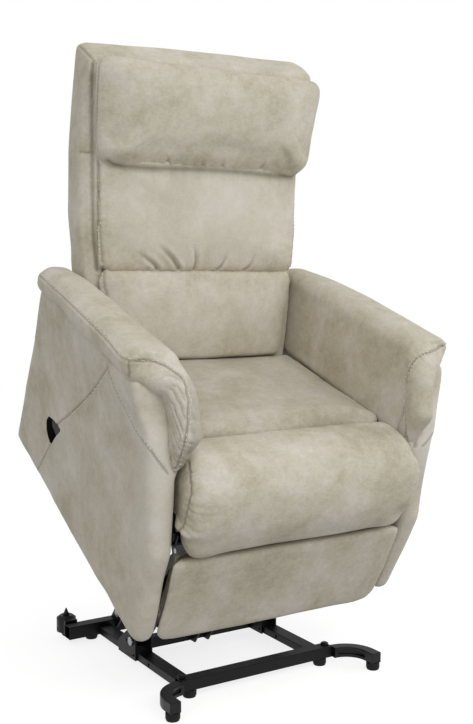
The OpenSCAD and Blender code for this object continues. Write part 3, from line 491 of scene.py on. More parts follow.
def stitches(ob, points, name, body, material, aside):
    """A row of stitches laid beside a sewn line, each a small rounded bar of thread."""
    pitch, long, wide = 0.0085, 0.0056, 0.0019
    line = on_surface(ob, points, step=0.002)
    steps = lengths_along(line)
    surface = BVHTree.FromObject(ob, bpy.context.evaluated_depsgraph_get())
    verts, faces = [], []
    for s in np.arange(pitch, steps[-1] - pitch, pitch):
        at = Vector([np.interp(s, steps, line[:, k]) for k in range(3)])
        on = Vector([np.interp(s + pitch * 0.5, steps, line[:, k]) for k in range(3)])
        place, normal, _, _ = surface.find_nearest(at)
        if place is None or (place - at).length > 0.03:
            continue
        along = on - at
        along = (along - normal * along.dot(normal)).normalized()
        across = normal.cross(along)
        middle = place + across * aside
        place, normal, _, _ = surface.find_nearest(middle)
        rise = normal * (wide * 0.35)
        start = len(verts)
        for a, w, h in ((-0.5, 0.35, -0.6), (-0.3, 1.0, 1.0), (0.3, 1.0, 1.0), (0.5, 0.35, -0.6)):
            for side, up in ((-0.5, -0.8), (-0.35, 0.6), (0.35, 0.6), (0.5, -0.8)):
                verts.append(place + along * (a * long) + across * (side * wide * w) + rise * (up + h))
        for i in range(3):
            for j in range(4):
                ring, k = start + 4 * i, (j + 1) % 4
                faces.append([ring + j, ring + 4 + j, ring + 4 + k, ring + k])
        faces.append([start, start + 1, start + 2, start + 3])
        faces.append([start + 15, start + 14, start + 13, start + 12])
    mesh = bpy.data.meshes.new(name)
    mesh.from_pydata([tuple(v) for v in verts], [], faces)
    mesh.transform(RAISE)
    row = linked(name, mesh)
    close_shape(open_shape(mesh), mesh)
    mesh.materials.append(material)
    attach(row, body)


def undulate(ob, height, size, seed, stretch=(1, 1, 1)):
    """Gentle unevenness of filled fabric, of a given size."""
    co, nr = places(ob), normals(ob)
    k = np.array(stretch) / size
    off = Vector((seed * 3.7, seed * 1.3, seed * 2.1))
    h = np.array([noise.noise(Vector(c * k) + off) for c in co])
    set_places(ob, co + nr * (height * h)[:, None])


def paint_highlight(ob, weight_fn):
    """Paints pale highlights on the crowns."""
    raise_mark(ob, "crown", weight_fn(places(ob), normals(ob)))


def paint_shade(ob, weight_fn):
    """Paints shade: makes the weighted places a little darker."""
    raise_mark(ob, "seam", weight_fn(places(ob), normals(ob)))


def bell(x, width):
    """1 at zero, falling to 0.37 at the width."""
    return np.exp(-(x / width) ** 2)


def ease(x, lo, hi):
    """0 below lo, 1 above hi, and a soft step between them."""
    t = np.clip((x - lo) / (hi - lo), 0, 1)
    return t * t * (3 - 2 * t)


def inflate(ob, held, pressure):
    """Blows fabric out from the places that are held, by 14 mm at most, and keeps the result."""
    cap, frames, stiffness = 0.014, 18, 8.0
    co = places(ob)
    group = ob.vertex_groups.new(name="held")
    w = np.clip(held(co), 0, 1)
    for level in (0.25, 0.5, 0.75, 1.0):
        idx = np.where(np.abs(w - level) <= 0.125)[0]
        if len(idx):
            group.add([int(i) for i in idx], level, "REPLACE")
    mod = ob.modifiers.new("cloth", "CLOTH")
    s = mod.settings
    s.vertex_group_mass = "held"
    s.use_pressure = True
    s.uniform_pressure_force = pressure
    s.effector_weights.gravity = 0.0
    s.tension_stiffness = s.compression_stiffness = stiffness
    s.shear_stiffness = stiffness * 0.6
    s.bending_stiffness = 0.4
    s.quality = 5
    mod.collision_settings.use_collision = False
    mod.point_cache.frame_start, mod.point_cache.frame_end = 1, frames
    scene = bpy.context.scene
    for f in range(1, frames + 1):
        scene.frame_set(f)
    out = vectors(ob.evaluated_get(bpy.context.evaluated_depsgraph_get()).data, "co")
    ob.modifiers.remove(mod)
    ob.vertex_groups.clear()
    scene.frame_set(1)
    move = out - co
    far = np.linalg.norm(move, axis=1)
    move *= (np.minimum(far, cap * np.tanh(far / cap) + 1e-9) / np.maximum(far, 1e-9))[:, None]
    set_places(ob, co + move)


def on_side(points, side):
    """Points of the sitter's right side (-1), or the same mirrored to the left (1)."""
    return points if side < 0 else [(-x, y, z) for x, y, z in points]


def mm(*points):
    """Points in millimetres, turned into metres."""
    return [tuple(v / 1000 for v in p) for p in points]


# ------------------------------------------------------------------ settings
def tone(name, description, default):
    """A setting for one tone, as an sRGB hex value."""
    return bpy.props.StringProperty(name=name, description=description + ", sRGB hex", default=default)


class ReclinerCover(bpy.types.PropertyGroup):
    """Tones of the cover and its thread"""
    body_hex: tone("Cover", "Main tone of the cover", "bdb6a4")
    shade_hex: tone("Cover, shaded", "Darkest cloud of the cover", "a9a28c")
    crown_hex: tone("Cover, pale", "Palest cloud of the cover", "cbc4ba")
    # tone of the painted pale highlights on the crowns
    painted_highlight_hex: tone("Cover, rubbed", "Tone of the rubbed crowns", "d3cec3")
    thread_hex: tone("Thread", "Tone of the sewing thread", "e9e4d8")
    # tone of the painted shade in seams, folds and other shaded places
    fold_shade_hex: tone("Folds", "Tone that folds and seams are darkened by", "6f6656")


class ReclinerStage(bpy.types.PropertyGroup):
    """Light and lens of the stage"""
    world_strength: bpy.props.FloatProperty(
        name="Fill light", description="Strength of the even light all round", default=0.64,
        min=0, max=3)
    key_power: bpy.props.FloatProperty(
        name="Key lamp", description="Power of the large lamp", default=50, min=0, max=500,
        unit="POWER")
    lens: bpy.props.FloatProperty(
        name="Lens", description="Focal length of the camera in millimetres", default=51.26,
        min=20, max=200)


# ------------------------------------------------------------------ stage
FLOOR_SIZE = 12
EYE = (-1.2300, -2.0701, 0.9010)
LOOK_DOWN, LOOK_ASIDE = 4.6991, 31.9411
# name, place, what it points at, size, share of the key lamp's power
LAMPS = (
    ("key", (-0.2, -3.4, 2.9), (0, 0, 0.9), (2.4, 1.8), 1.0),
    ("side", (2.8, -1.2, 1.8), (0, 0, 0.8), (1.6, 1.8), 0.45),
    ("top", (-0.4, 0.6, 3.6), (0, 0, 0.8), (2.2, 2.2), 0.12),
    ("fill", (-2.4, -2.4, 1.7), (0, 0.1, 1.0), (1.4, 1.4), 0.25),
)


class RECLINER_OT_stage(bpy.types.Operator):
    """Floor, lamps, world and camera"""
    bl_idname = "recliner.stage"
    bl_label = "Stage"

    def execute(self, context):
        settings = context.scene.recliner_stage
        context.scene.view_settings.view_transform = "Standard"
        self.floor()
        self.world(context, settings.world_strength)
        for name, place, target, size, share in LAMPS:
            data = bpy.data.lights.new(name, "AREA")
            data.shape = "RECTANGLE"
            data.size, data.size_y = size
            data.energy = settings.key_power * share
            lamp = linked(name, data)
            lamp.location = place
            lamp.rotation_euler = (Vector(target) - Vector(place)).to_track_quat("-Z", "Y").to_euler()

        camera = bpy.data.cameras.new("camera")
        camera.sensor_fit = "VERTICAL"
        camera.sensor_height = 36
        camera.lens = settings.lens
        eye = linked("camera", camera)
        eye.location = EYE
        eye.rotation_euler = (math.radians(90 - LOOK_DOWN), 0, math.radians(-LOOK_ASIDE))
        context.scene.camera = eye
        return {"FINISHED"}

    def mix_by_ray(self, tree, kinds, others, seen, out):
        """One shader for rays of two kinds, such as those of the camera, and one for all others."""
        path = add(tree, "LightPath")
        either = add(tree, "Math", {"operation": "MAXIMUM"}, _0=path.outputs[kinds[0]],
                     _1=path.outputs[kinds[1]])
        mix = add(tree, "MixShader", {}, _0=either.outputs[0], _1=others.outputs[0], _2=seen.outputs[0])
        tree.links.new(mix.outputs[0], out.inputs["Surface"])

    def floor(self):
        """Paper that is seen near white and keeps the chair's shadow."""
        bpy.ops.object.select_all(action="DESELECT")
        bpy.ops.mesh.primitive_plane_add(size=FLOOR_SIZE, location=(0, 0, 0))
        floor = bpy.context.object
        floor.name = "floor"
        mat = bpy.data.materials.new("studio_floor")
        mat.use_nodes = True
        tree = mat.node_tree
        out = output_of(tree, "Material")
        paper = add(tree, "BsdfDiffuse", {"Color": grey(0.30)})
        glow = add(tree, "Emission", {"Color": grey(0.80), "Strength": 1.0})
        both = add(tree, "AddShader", {}, _0=paper.outputs[0], _1=glow.outputs[0])
        plain = add(tree, "BsdfDiffuse", {"Color": grey(0.45)})
        self.mix_by_ray(tree, ("Is Camera Ray", "Is Glossy Ray"), plain, both, out)
        floor.data.materials.append(mat)

    def world(self, context, strength):
        """Even light all round, seen as white."""
        world = bpy.data.worlds.new("studio")
        context.scene.world = world
        world.use_nodes = True
        tree = world.node_tree
        out = output_of(tree, "World")
        light = add(tree, "Background", {"Color": grey(1.0), "Strength": strength})
        white = add(tree, "Background", {"Color": grey(1.0), "Strength": 1.0})
        self.mix_by_ray(tree, ("Is Camera Ray", "Is Transmission Ray"), light, white, out)


# ------------------------------------------------------------------ steelwork and plastics
PAINTED = ["front_rail", "rear_rail", "side_rail_left", "side_rail_right", "centre_rail",
           "lift_bracket_left", "lift_bracket_right", "rear_pivot_ears", "lower_lift_arms",
           "upper_lift_arms", "chassis_plates", "chassis_tubes", "hanger_plates", "back_frame",
           "leg_swing_links", "leg_control_links", "leg_reach_links", "leg_upper_links",
           "footrest_brackets"]
BRIGHT = ["castor_axles", "base_pivot_bolts", "lift_rod", "hanger_bolts", "recline_rod", "back_hinge_bolts"]
MOULDED = ["front_foot_left", "front_foot_right", "foot_plugs", "castor_housing_left",
           "castor_housing_right", "castor_knobs", "lift_motor", "recline_motor", "control_box"]
RUBBER = ["floor_pads", "castor_wheel_left", "castor_wheel_right"]
KEYS = ["button_raise", "button_lower", "button_recline", "button_upright"]
WELD_WITHIN, BEVEL_STEPS, BEVEL_FROM = 0.00002, 2, math.radians(40)


class RECLINER_OT_hardware(bpy.types.Operator):
    """Finishes and edge rounding of the steel, plastic, rubber and timber pieces"""
    bl_idname = "recliner.hardware"
    bl_label = "Hardware finishes"

    def execute(self, context):
        nylon = moulded_plastic("glass_filled_nylon", "070708", "111113", 0.38)
        rubber = moulded_plastic("castor_rubber", "0b0b0b", "161615", 0.68, depth=0.3)
        gloss = moulded_plastic("gloss_abs", "030304", "060608", 0.26, shine=0.09, depth=0.02)
        silicone = moulded_plastic("silicone_keys", "8f9194", "a3a5a8", 0.5, depth=0.1)
        # nodes, their material, and how far their edges are rounded (m)
        groups = [
            (PAINTED, powder_coated_steel(), 0.0012), (BRIGHT, zinc_plated_steel(), 0.0006),
            (MOULDED, nylon, 0.0014), (RUBBER, rubber, 0.001), (["seat_frame"], plywood(), 0.0012),
            (["footrest_board"], cover_material(context), 0.002), (["seat_webs"], woven_webbing(), 0.0004),
            (["handset"], gloss, 0.003), (KEYS, silicone, 0.0008),
        ]
        for nodes, material, edge in groups:
            for node in nodes:
                ob = frame["nodes"][node]
                ob.data.materials.clear()
                ob.data.materials.append(material)
                weld = ob.modifiers.new("weld", "WELD")
                weld.merge_threshold = WELD_WITHIN
                bevel = ob.modifiers.new("bevel", "BEVEL")
                bevel.width = edge
                bevel.segments = BEVEL_STEPS
                bevel.limit_method = "ANGLE"
                bevel.angle_limit = BEVEL_FROM
                bevel.use_clamp_overlap = True
        return {"FINISHED"}


# ------------------------------------------------------------------ side panels
# Seams on the sitter's right panel, in the chair's own coordinates (mm)
FLAP_SEAM = mm((-381, 79, 544), (-366, 138, 470), (-351, 197, 395), (-340, 265, 307),
               (-335, 334, 218), (-341, 342, 175), (-338, 370, 111), (-335, 396, 57))
DART_SEAM = mm((-382, 80, 547), (-377, 26, 515), (-365, -35, 485), (-353, -96, 468),
               (-317, -122, 427))
# where the left panel's front meets the narrow front of the arm
ARM_CREASE = mm((305, -72, 560), (304, -88, 525), (304, -98, 490), (304, -108, 455),
                (303, -116, 425))
# mouth of the pocket on the panel's face: distance back and height
MOUTH = ((367, 231), (352, 244), (329, 252), (307, 254), (290, 247), (303, 226), (323, 199),
         (338, 176), (359, 177), (375, 189), (380, 212))
ARM_DROP = math.tan(math.radians(8.2))
# the panel's outer face: half-width at its lowest height, and how much it leans out over its rise
FACE_FOOT, FACE_LOW, FACE_OUT, FACE_RISE = 0.336, 0.045, 0.024, 0.523
# the handset and the room around it: size, how far it stands out, its travel, room and depth
HAND_LONG, HAND_WIDE, HAND_THICK = 0.160, 0.052, 0.022
HAND_OUT, HAND_TRAVEL, HAND_ROOM, HAND_DEEP = 0.047, 0.009, 0.002, 0.003
HAND_Y, HAND_Z = 0.295, 0.228
# turns of the handset about X, Z, Z and X that lay it along the seam of the flap
HAND_TURNS = ((28.3, "X"), (8, "Z"), (90, "Z"), (-90, "X"))


def arm_top(y):
    """Height of the arm's top at a distance back."""
    return 0.638 - (y + 0.020) * ARM_DROP


def panel_fill(co, side):
    """The panel's top swells up and out until it meets the underside of the arm."""
    # how far the front's foot comes forward
    foot = 0.016 if side < 0 else 0.002
    co = co.copy()
    x, y, z = np.abs(co[:, 0]), co[:, 1], co[:, 2]
    below = arm_top(y) - 0.078 - z
    outer = ease(x, 0.318, 0.335)
    out = (0.008 + 0.020 * ease(-y, -0.28, -0.02)) * ease(-y, -0.62, -0.42)
    x = x + outer * out * bell(np.maximum(below, 0), 0.07)
    z = z + 0.022 * bell(np.maximum(below, 0), 0.035)
    # the inner face fills out to the arm's above the roll
    x = x - 0.010 * ease(-x, -0.312, -0.296) * ease(z, 0.40, 0.44) * ease(-y, 0.02, 0.05)
    if side > 0:
        # the left panel comes forward beside the arm's narrow front, and closes the gap to it
        front = ease(z, 0.44, 0.50) * ease(-y, 0.0, 0.05)
        x = x - 0.024 * ease(-x, -0.342, -0.333) * ease(x, 0.305, 0.320) * front
        y = y - 0.012 * bell(z - 0.47, 0.10) * ease(-y, 0.0, 0.06)
    else:
        x = x + outer * pocket_bulge(y, z)
    # the front edge bellies forward a little, most at its foot
    co[:, 1] = y - 0.004 * ease(-y, 0.10, 0.17) - foot * ease(-y, 0.04, 0.15) * ease(-z, -0.22, -0.07)
    co[:, 0], co[:, 2] = np.sign(co[:, 0]) * x, z
    return co


def panel_face(z):
    """Half-width of the panel's outer face, before it is padded."""
    return FACE_FOOT + FACE_OUT * (z - FACE_LOW) / FACE_RISE


def pocket_bulge(y, z):
    """The cover stands out a little over the end of the handset."""
    return 0.011 * np.exp(-((y - 0.335) / 0.055) ** 2 - ((z - 0.250) / 0.048) ** 2)


def pocket_slot():
    """The room for the handset under the flap, as a solid to cut with."""
    face = panel_face(HAND_Z)
    place = Matrix.Translation((-face, HAND_Y, HAND_Z))
    for turn, axis in HAND_TURNS:
        place = place @ Matrix.Rotation(math.radians(turn), 4, axis)
    place = place @ Matrix.Translation((HAND_OUT - HAND_LONG, 0, -HAND_THICK - HAND_DEEP))
    bpy.ops.object.select_all(action="DESELECT")
    bpy.ops.mesh.primitive_cube_add(size=1, location=(0, 0, 0))
    slot = bpy.context.object
    lo = Vector((-HAND_ROOM, -HAND_WIDE / 2 - HAND_ROOM, -HAND_ROOM))
    hi = Vector((HAND_LONG + HAND_TRAVEL + HAND_ROOM, HAND_WIDE / 2 + HAND_ROOM, HAND_THICK + HAND_ROOM))
    for v in slot.data.vertices:
        v.co = Vector([lo[k] if v.co[k] < 0 else hi[k] for k in range(3)])
    slot.data.transform(place)
    # the room ends 5.5 mm outside the face, under the cover, which only the mouth opens
    shape = open_shape(slot.data)
    cut = bmesh.ops.bisect_plane(shape, geom=shape.verts[:] + shape.edges[:] + shape.faces[:],
                                 clear_outer=True, plane_co=(-face - 0.0055, HAND_Y, HAND_Z),
                                 plane_no=(-1, 0, -FACE_OUT / FACE_RISE))
    edges = [g for g in cut["geom_cut"] if isinstance(g, bmesh.types.BMEdge)]
    bmesh.ops.contextual_create(shape, geom=edges)
    close_shape(shape, slot.data)
    return slot


def pocket_mouth():
    """The opening above the flap's edge, as a solid that reaches 30 mm to both sides of the face."""
    inner = -panel_face(HAND_Z) * 1000 + 30
    outline = smooth_line(mm(*[(inner, back, up) for back, up in MOUTH + MOUTH[:1]]), step=0.004)
    shape = bmesh.new()
    base = shape.faces.new([shape.verts.new(q) for q in outline[:-1]])
    grown = bmesh.ops.extrude_face_region(shape, geom=[base])
    tops = [g for g in grown["geom"] if isinstance(g, bmesh.types.BMVert)]
    bmesh.ops.translate(shape, verts=tops, vec=(-0.060, 0, 0))
    mesh = bpy.data.meshes.new("pocket_mouth")
    close_shape(shape, mesh)
    return linked("pocket_mouth", mesh)


class RECLINER_OT_side_panels(bpy.types.Operator):
    """Padded side panels with their sewn seams and the handset pocket"""
    bl_idname = "recliner.side_panels"
    bl_label = "Side panels"

    def execute(self, context):
        cover, thread = cover_material(context), thread_material(context)
        for side, name in SIDES:
            ob = soft_copy("panel_cover_" + name, "side_panel_left", COARSE, 5, whole=True)
            if side < 0:
                ob.data.transform(Matrix.Diagonal((-1, 1, 1, 1)))
                ob.data.flip_normals()
            swell(ob, 0.0008)
            refine(ob)
            warp(ob, lambda co: panel_fill(co, side))
            undulate(ob, 0.0030, 0.16, seed=3 + side)
            undulate(ob, 0.0014, 0.05, seed=5 + side, stretch=(1, 1, 0.5))
            for line, depth in ((FLAP_SEAM, 0.0016), (DART_SEAM, 0.0014)):
                seam(ob, on_side(line, side), depth, width=0.0026, ripple=0.0004, spacing=0.03, puff=0.0008)
            if side > 0:
                seam(ob, ARM_CREASE, depth=0.004, width=0.004, mark=0.6)
            # painted highlight on the panel's front edge under the arm
            paint_highlight(ob, self.brushed)
            # the flap's stitches leave out the mouth of the pocket
            for row, line in (("dart", DART_SEAM), ("flap", FLAP_SEAM[:4]), ("foot", FLAP_SEAM[5:])):
                stitches(ob, on_side(line, side), "%s_stitches_%s" % (row, name), "chassis", thread, 0.0045)
            if side < 0:
                for cutter in (pocket_slot(), pocket_mouth()):
                    apply_modifier(ob, "BOOLEAN", operation="DIFFERENCE", object=cutter, solver="EXACT")
                    bpy.data.objects.remove(cutter)
                self.shade_pocket(ob, cover)
            finish_soft(ob, cover, "chassis", ["side_panel_" + name])
        return {"FINISHED"}

    def shade_pocket(self, ob, cover):
        """The inside of the pocket is painted black as its shade: every face well below the panel's outer
        face.
        """
        ob.data.materials.append(cover)
        # black paint stands for the shade inside the pocket
        ob.data.materials.append(moulded_plastic("painted_pocket_shade", "060606", "0c0c0c", 0.7, shine=0.1))
        for face in ob.data.polygons:
            x, y, z = face.center
            surface = panel_face(z) + pocket_bulge(y, z)
            if 0.298 < -x < surface - 0.003 and 0.16 < y < 0.40 and 0.15 < z < 0.30:
                face.material_index = 1

    def brushed(self, co, nr):
        """Painted highlight: the front edge under the arm is made pale."""
        high = bell(co[:, 2] - 0.47, 0.10)
        return 0.70 * high * ease(-co[:, 1], 0.02, 0.13) + 0.25 * ease(-co[:, 1], 0.06, 0.16)


# ------------------------------------------------------------------ arms
ARM_SEAM = mm((-368, 500, 528), (-381, 349, 561), (-393, 217, 587), (-394, 98, 602),
              (-396, 8, 610), (-381, -23, 622), (-356, -27, 623), (-341, -35, 621),
              (-327, -47, 618), (-318, -60, 615), (-308, -69, 609), (-302, -80, 600),
              (-303, -94, 591), (-301, -102, 577), (-303, -111, 565), (-304, -122, 545),
              (-307, -132, 523), (-307, -136, 492), (-303, -128, 462), (-303, -122, 438))
# the gathered band of the right arm's front, between its seam and its lower edge
BAND_TOP = ARM_SEAM[5:]
BAND_LOW = mm((-389, -22, 584), (-368, -42, 582), (-348, -62, 590), (-332, -73, 573),
              (-320, -82, 536), (-316, -101, 491), (-314, -118, 461), (-305, -120, 434))
BAND_START = mm((-396, -17, 617), (-394, -23, 603), (-390, -23, 587))
# the sitter's left arm: its seam turns further in at the front
LEFT_SEAM = mm((368, 500, 528), (381, 349, 561), (393, 217, 587), (394, 98, 602),
               (396, 8, 612), (380, -23, 623), (322, -46, 624), (285, -48, 606),
               (275, -52, 581), (272, -61, 558), (271, -77, 522), (276, -94, 480),
               (282, -110, 437))


def arm_turn(co, taper):
    """The arm's front leans in over the seat and tapers on its outer side."""
    co = co.copy()
    x, y, z = np.abs(co[:, 0]), co[:, 1], co[:, 2]
    w = ease(z, 0.455, 0.53) * ease(-z, -0.625, -0.575) * ease(-y, 0.005, 0.07)
    low = ease(-z, -0.60, -0.54) * ease(-y, 0.03, 0.08)
    x = x - 0.008 * w
    x = np.where(x > 0.300, 0.300 + (x - 0.300) * (1 - taper * low), x)
    co[:, 0] = np.sign(co[:, 0]) * x
    co[:, 1] = y - 0.010 * w
    # the lining on the inner side reaches the front without a gap
    co[:, 1] -= (0.030 * ease(-y, 0.015, 0.035) * ease(y, -0.066, -0.054) * ease(-x, -0.297, -0.290)
                 * ease(-z, -0.56, -0.52))
    # the rear end droops
    co[:, 2] = z - 0.014 * ease(y, 0.36, 0.53)
    return co


class RECLINER_OT_arms(bpy.types.Operator):
    """Padded arms with a sewn edge and gathered fronts"""
    bl_idname = "recliner.arms"
    bl_label = "Arms"

    def execute(self, context):
        cover, thread = cover_material(context), thread_material(context)
        for side, name in SIDES:
            node = "arm_pad_" + name
            ob = soft_copy("arm_cover_" + name, node, FINE, 7)
            swell(ob, 0.0012)
            refine(ob)
            warp(ob, lambda co: arm_turn(co, 0.26 if side < 0 else 0.88))
            undulate(ob, 0.0026, 0.12, seed=13 + side)
            edge = ARM_SEAM if side < 0 else LEFT_SEAM
            if side < 0:
                self.gathers(ob, BAND_TOP, BAND_LOW)
                seam(ob, BAND_START, depth=0.0020, width=0.0028)
            seam(ob, edge[:6], depth=0.0010, width=0.0026, mark=0.18, puff=0.0014)
            seam(ob, edge[5:], depth=0.0022, width=0.0026, ripple=0.0008, reach=0.018,
                 spacing=0.022, seed=4, puff=0.0012)
            # painted highlight on the arm's upward faces, strongest at the front
            paint_highlight(ob, lambda co, nr: 0.08 * ease(nr[:, 2], 0.55, 0.98) * ease(-co[:, 1], -0.30, 0.02))
            if side < 0:
                # painted shade on the inner front of the right arm
                paint_shade(ob, lambda co, nr: 0.28 * ease(co[:, 0], -0.306, -0.294)
                        * ease(-co[:, 1], 0.04, 0.09) * ease(-co[:, 2], -0.63, -0.58))
            stitches(ob, edge, "arm_stitches_" + name, "chassis", thread, aside=-side * 0.0048)
            if side > 0:
                stitches(ob, edge[6:], "arm_second_stitches_" + name, "chassis", thread, aside=0.0040)
            finish_soft(ob, cover, "chassis", [node])
        return {"FINISHED"}

    def gathers(self, ob, top, low):
        """Folds that run across the band between its seam and its lower edge."""
        co, nr = places(ob), normals(ob)
        near = np.where(co[:, 1] < 0.02)[0]
        to_top, along = near_line(co[near], on_surface(ob, top))
        to_low, _ = near_line(co[near], on_surface(ob, low))
        total = np.maximum(to_top + to_low, 1e-6)
        share = to_top / total
        inside = ease(-total, -0.085, -0.050) * ease(share, 0.02, 0.18) * ease(-share, -1.0, -0.80)
        strength = 0.35 + 0.65 * ease(along, 0.05, 0.11)
        slope = 0.5 + 1.5 * ease(along, 0.04, 0.16)
        folds = creases(along - slope * to_low, 0.024, 7) ** 1.3
        co[near] += nr[near] * (0.0034 * (folds - 0.75) * inside * strength)[:, None]
        set_places(ob, co)
        # painted shade in the valleys of the folds
        raise_mark(ob, "seam", 0.30 * inside * strength * ease(-folds, -0.45, -0.05), near)


# ------------------------------------------------------------------ seat
# the sewn edge at the end of the front roll
ROLL_SIDE = mm((-271, -112, 443), (-277, -139, 425), (-283, -162, 408), (-285, -170, 371),
               (-284, -168, 335), (-284, -166, 301))


def seat_shift(co):
    """The cross seam of the seat lies a little further back than the joint of the two pads."""
    co = co.copy()
    co[:, 1] += 0.015 * bell(co[:, 1] + 0.052, 0.05) * ease(co[:, 2], 0.36, 0.43)
    return co


def roll_shape(co):
    """The roll's ends swell out between their corners, and its lower lip is drawn sideways."""
    co = seat_shift(co)
    x, y, z = np.abs(co[:, 0]), co[:, 1], co[:, 2]
    belly = bell(z - 0.385, 0.055) * ease(-y, 0.10, 0.17)
    low = ease(-z, -0.345, -0.305)
    co[:, 2] = z - 0.005 * ease(x, 0.17, 0.22) * ease(-x, -0.250, -0.235) * low * ease(-y, 0.12, 0.165)
    co[:, 2] += 0.005 * ease(x, 0.235, 0.252) * low
    x = x + ease(x, 0.15, 0.25) * (0.010 * belly + 0.022 * low * ease(-y, 0.11, 0.155))
    co[:, 0] = np.sign(co[:, 0]) * x
    return co


class RECLINER_OT_seat(bpy.types.Operator):
    """Seat cushion and the front roll, sewn together by a cross seam"""
    bl_idname = "recliner.seat"
    bl_label = "Seat"

    def execute(self, context):
        cover = cover_material(context)
        ob = soft_copy("seat_cushion_cover", "seat_cushion", COARSE, 6)
        inflate(ob, lambda co: np.maximum(ease(-co[:, 2], -0.395, -0.36),
                                          ease(np.abs(co[:, 0]), 0.262, 0.268)), pressure=3.0)
        refine(ob)
        warp(ob, seat_shift)
        undulate(ob, 0.004, 0.18, seed=21)
        undulate(ob, 0.0012, 0.045, seed=22, stretch=(0.4, 1, 1))
        # painted highlight on the seat's upward faces toward its front
        paint_highlight(ob, lambda co, nr: 0.08 * ease(nr[:, 2], 0.7, 1.0) * ease(-co[:, 1], -0.1, 0.03))
        # painted shade over the seat's upward faces
        paint_shade(ob, lambda co, nr: 0.12 * ease(nr[:, 2], 0.6, 0.9))
        finish_soft(ob, cover, "chassis", ["seat_cushion"])

        ob = soft_copy("front_roll_cover", "seat_roll", COARSE, 8)
        inflate(ob, lambda co: np.maximum(ease(co[:, 1], -0.07, -0.055),
                                          ease(-co[:, 2], -0.30, -0.285)), pressure=3.0)
        refine(ob)
        warp(ob, roll_shape)
        undulate(ob, 0.004, 0.16, seed=23)
        undulate(ob, 0.0014, 0.05, seed=24, stretch=(0.5, 1, 1))
        for side, _ in SIDES:
            seam(ob, on_side(ROLL_SIDE, side), depth=0.003, width=0.003, mark=0.55, ripple=0.0020,
                 reach=0.034, spacing=0.016, seed=6)
        # painted highlight on the roll's upward faces at its front
        paint_highlight(ob, lambda co, nr: 0.06 * ease(nr[:, 2], 0.40, 0.90) * ease(-co[:, 1], 0.06, 0.13))
        finish_soft(ob, cover, "chassis", ["seat_roll"])
        return {"FINISHED"}


# ------------------------------------------------------------------ back
# the back is bent: its lean below and above the head valley, which lies at SPLIT
LEAN_LOW = math.radians(24)
LEAN_TOP = math.radians(13.5)
SPLIT = 0.79


def along_back(co, lean):
    """Height up the back and distance forward from it, for a lean."""
    return (co[:, 1] * math.sin(lean) + co[:, 2] * math.cos(lean),
            -co[:, 1] * math.cos(lean) + co[:, 2] * math.sin(lean))


def from_back(x, up, out, lean):
    """Places from the width, the height up the back and the distance forward from it."""
    return np.c_[x, up * math.sin(lean) - out * math.cos(lean), up * math.cos(lean) + out * math.sin(lean)]


# name, node, lean, growth at the lower and upper edge, half-width factor below and above,
# how far the front draws back at the sides below and above (m), strength of its painted highlight
PILLOWS = (
    ("lumbar_pillow", "lumbar_cushion", LEAN_LOW, 0.014, 0.0085, 0.965, 1.0, 0.018, 0.020, 0.20),
    ("middle_pillow", "middle_cushion", LEAN_LOW, 0.0085, 0.026, 1.01, 1.03, 0.022, 0.016, 0.45),
    ("headrest_pillow", "headrest_cushion", LEAN_TOP, 0.015, 0.004, 1.0, 1.075, 0.020, 0.014, 0.10),
)
LUMBAR, MIDDLE, HEAD = range(3)
# stitched side edges of the lumbar, middle and head pillow
SIDE_EDGES = (
    mm((-256, 432, 580), (-254, 425, 569), (-252, 412, 543), (-248, 404, 530), (-248, 385, 480)),
    mm((-268, 527, 790), (-266, 497, 720), (-262, 464, 650), (-257, 438, 595)),
    mm((-287, 572, 1004), (-291, 561, 979), (-286, 551, 928), (-278, 540, 865), (-272, 527, 822)),
)
# sewn valleys between the pillows
LUMBAR_VALLEY = mm((-262, 440, 567), (-150, 447, 574), (0, 449, 575), (150, 447, 574),
                   (262, 440, 567))
HEAD_VALLEY = mm((-262, 500, 798), (-150, 504, 803), (0, 505, 804), (150, 504, 803),
                 (262, 500, 798))
# puckers: where each starts on its valley (m from the middle), its turn, length and depth
LUMBAR_PUCKERS = ((-0.125, -0.95, 0.080, 0.0045), (-0.070, -0.80, 0.095, 0.0050),
                  (-0.030, -0.10, 0.07, 0.0040), (0.035, 0.45, 0.06, 0.0022),
                  (0.11, 0.6, 0.05, 0.0020))
HEAD_PUCKERS = ((-0.125, 0.05, 0.035, 0.0045), (0.02, 0.1, 0.03, 0.0028),
                (0.12, 0.45, 0.05, 0.0022), (-0.03, -0.2, 0.03, 0.0022))
# seams of the shell: the mitre across its upper corner, the join of its side border by the
# head valley, and the border beside the pillows
MITRE = mm((-293, 690, 1007), (-293, 645, 1004), (-286, 607, 996))
BORDER_JOIN = mm((-295, 577, 799), (-285, 565, 803), (-274, 555, 807))
BORDER = mm((-288, 607, 989), (-284, 597, 935), (-278, 572, 853), (-274, 550, 792),
            (-272, 515, 712), (-267, 479, 630), (-260, 448, 570))


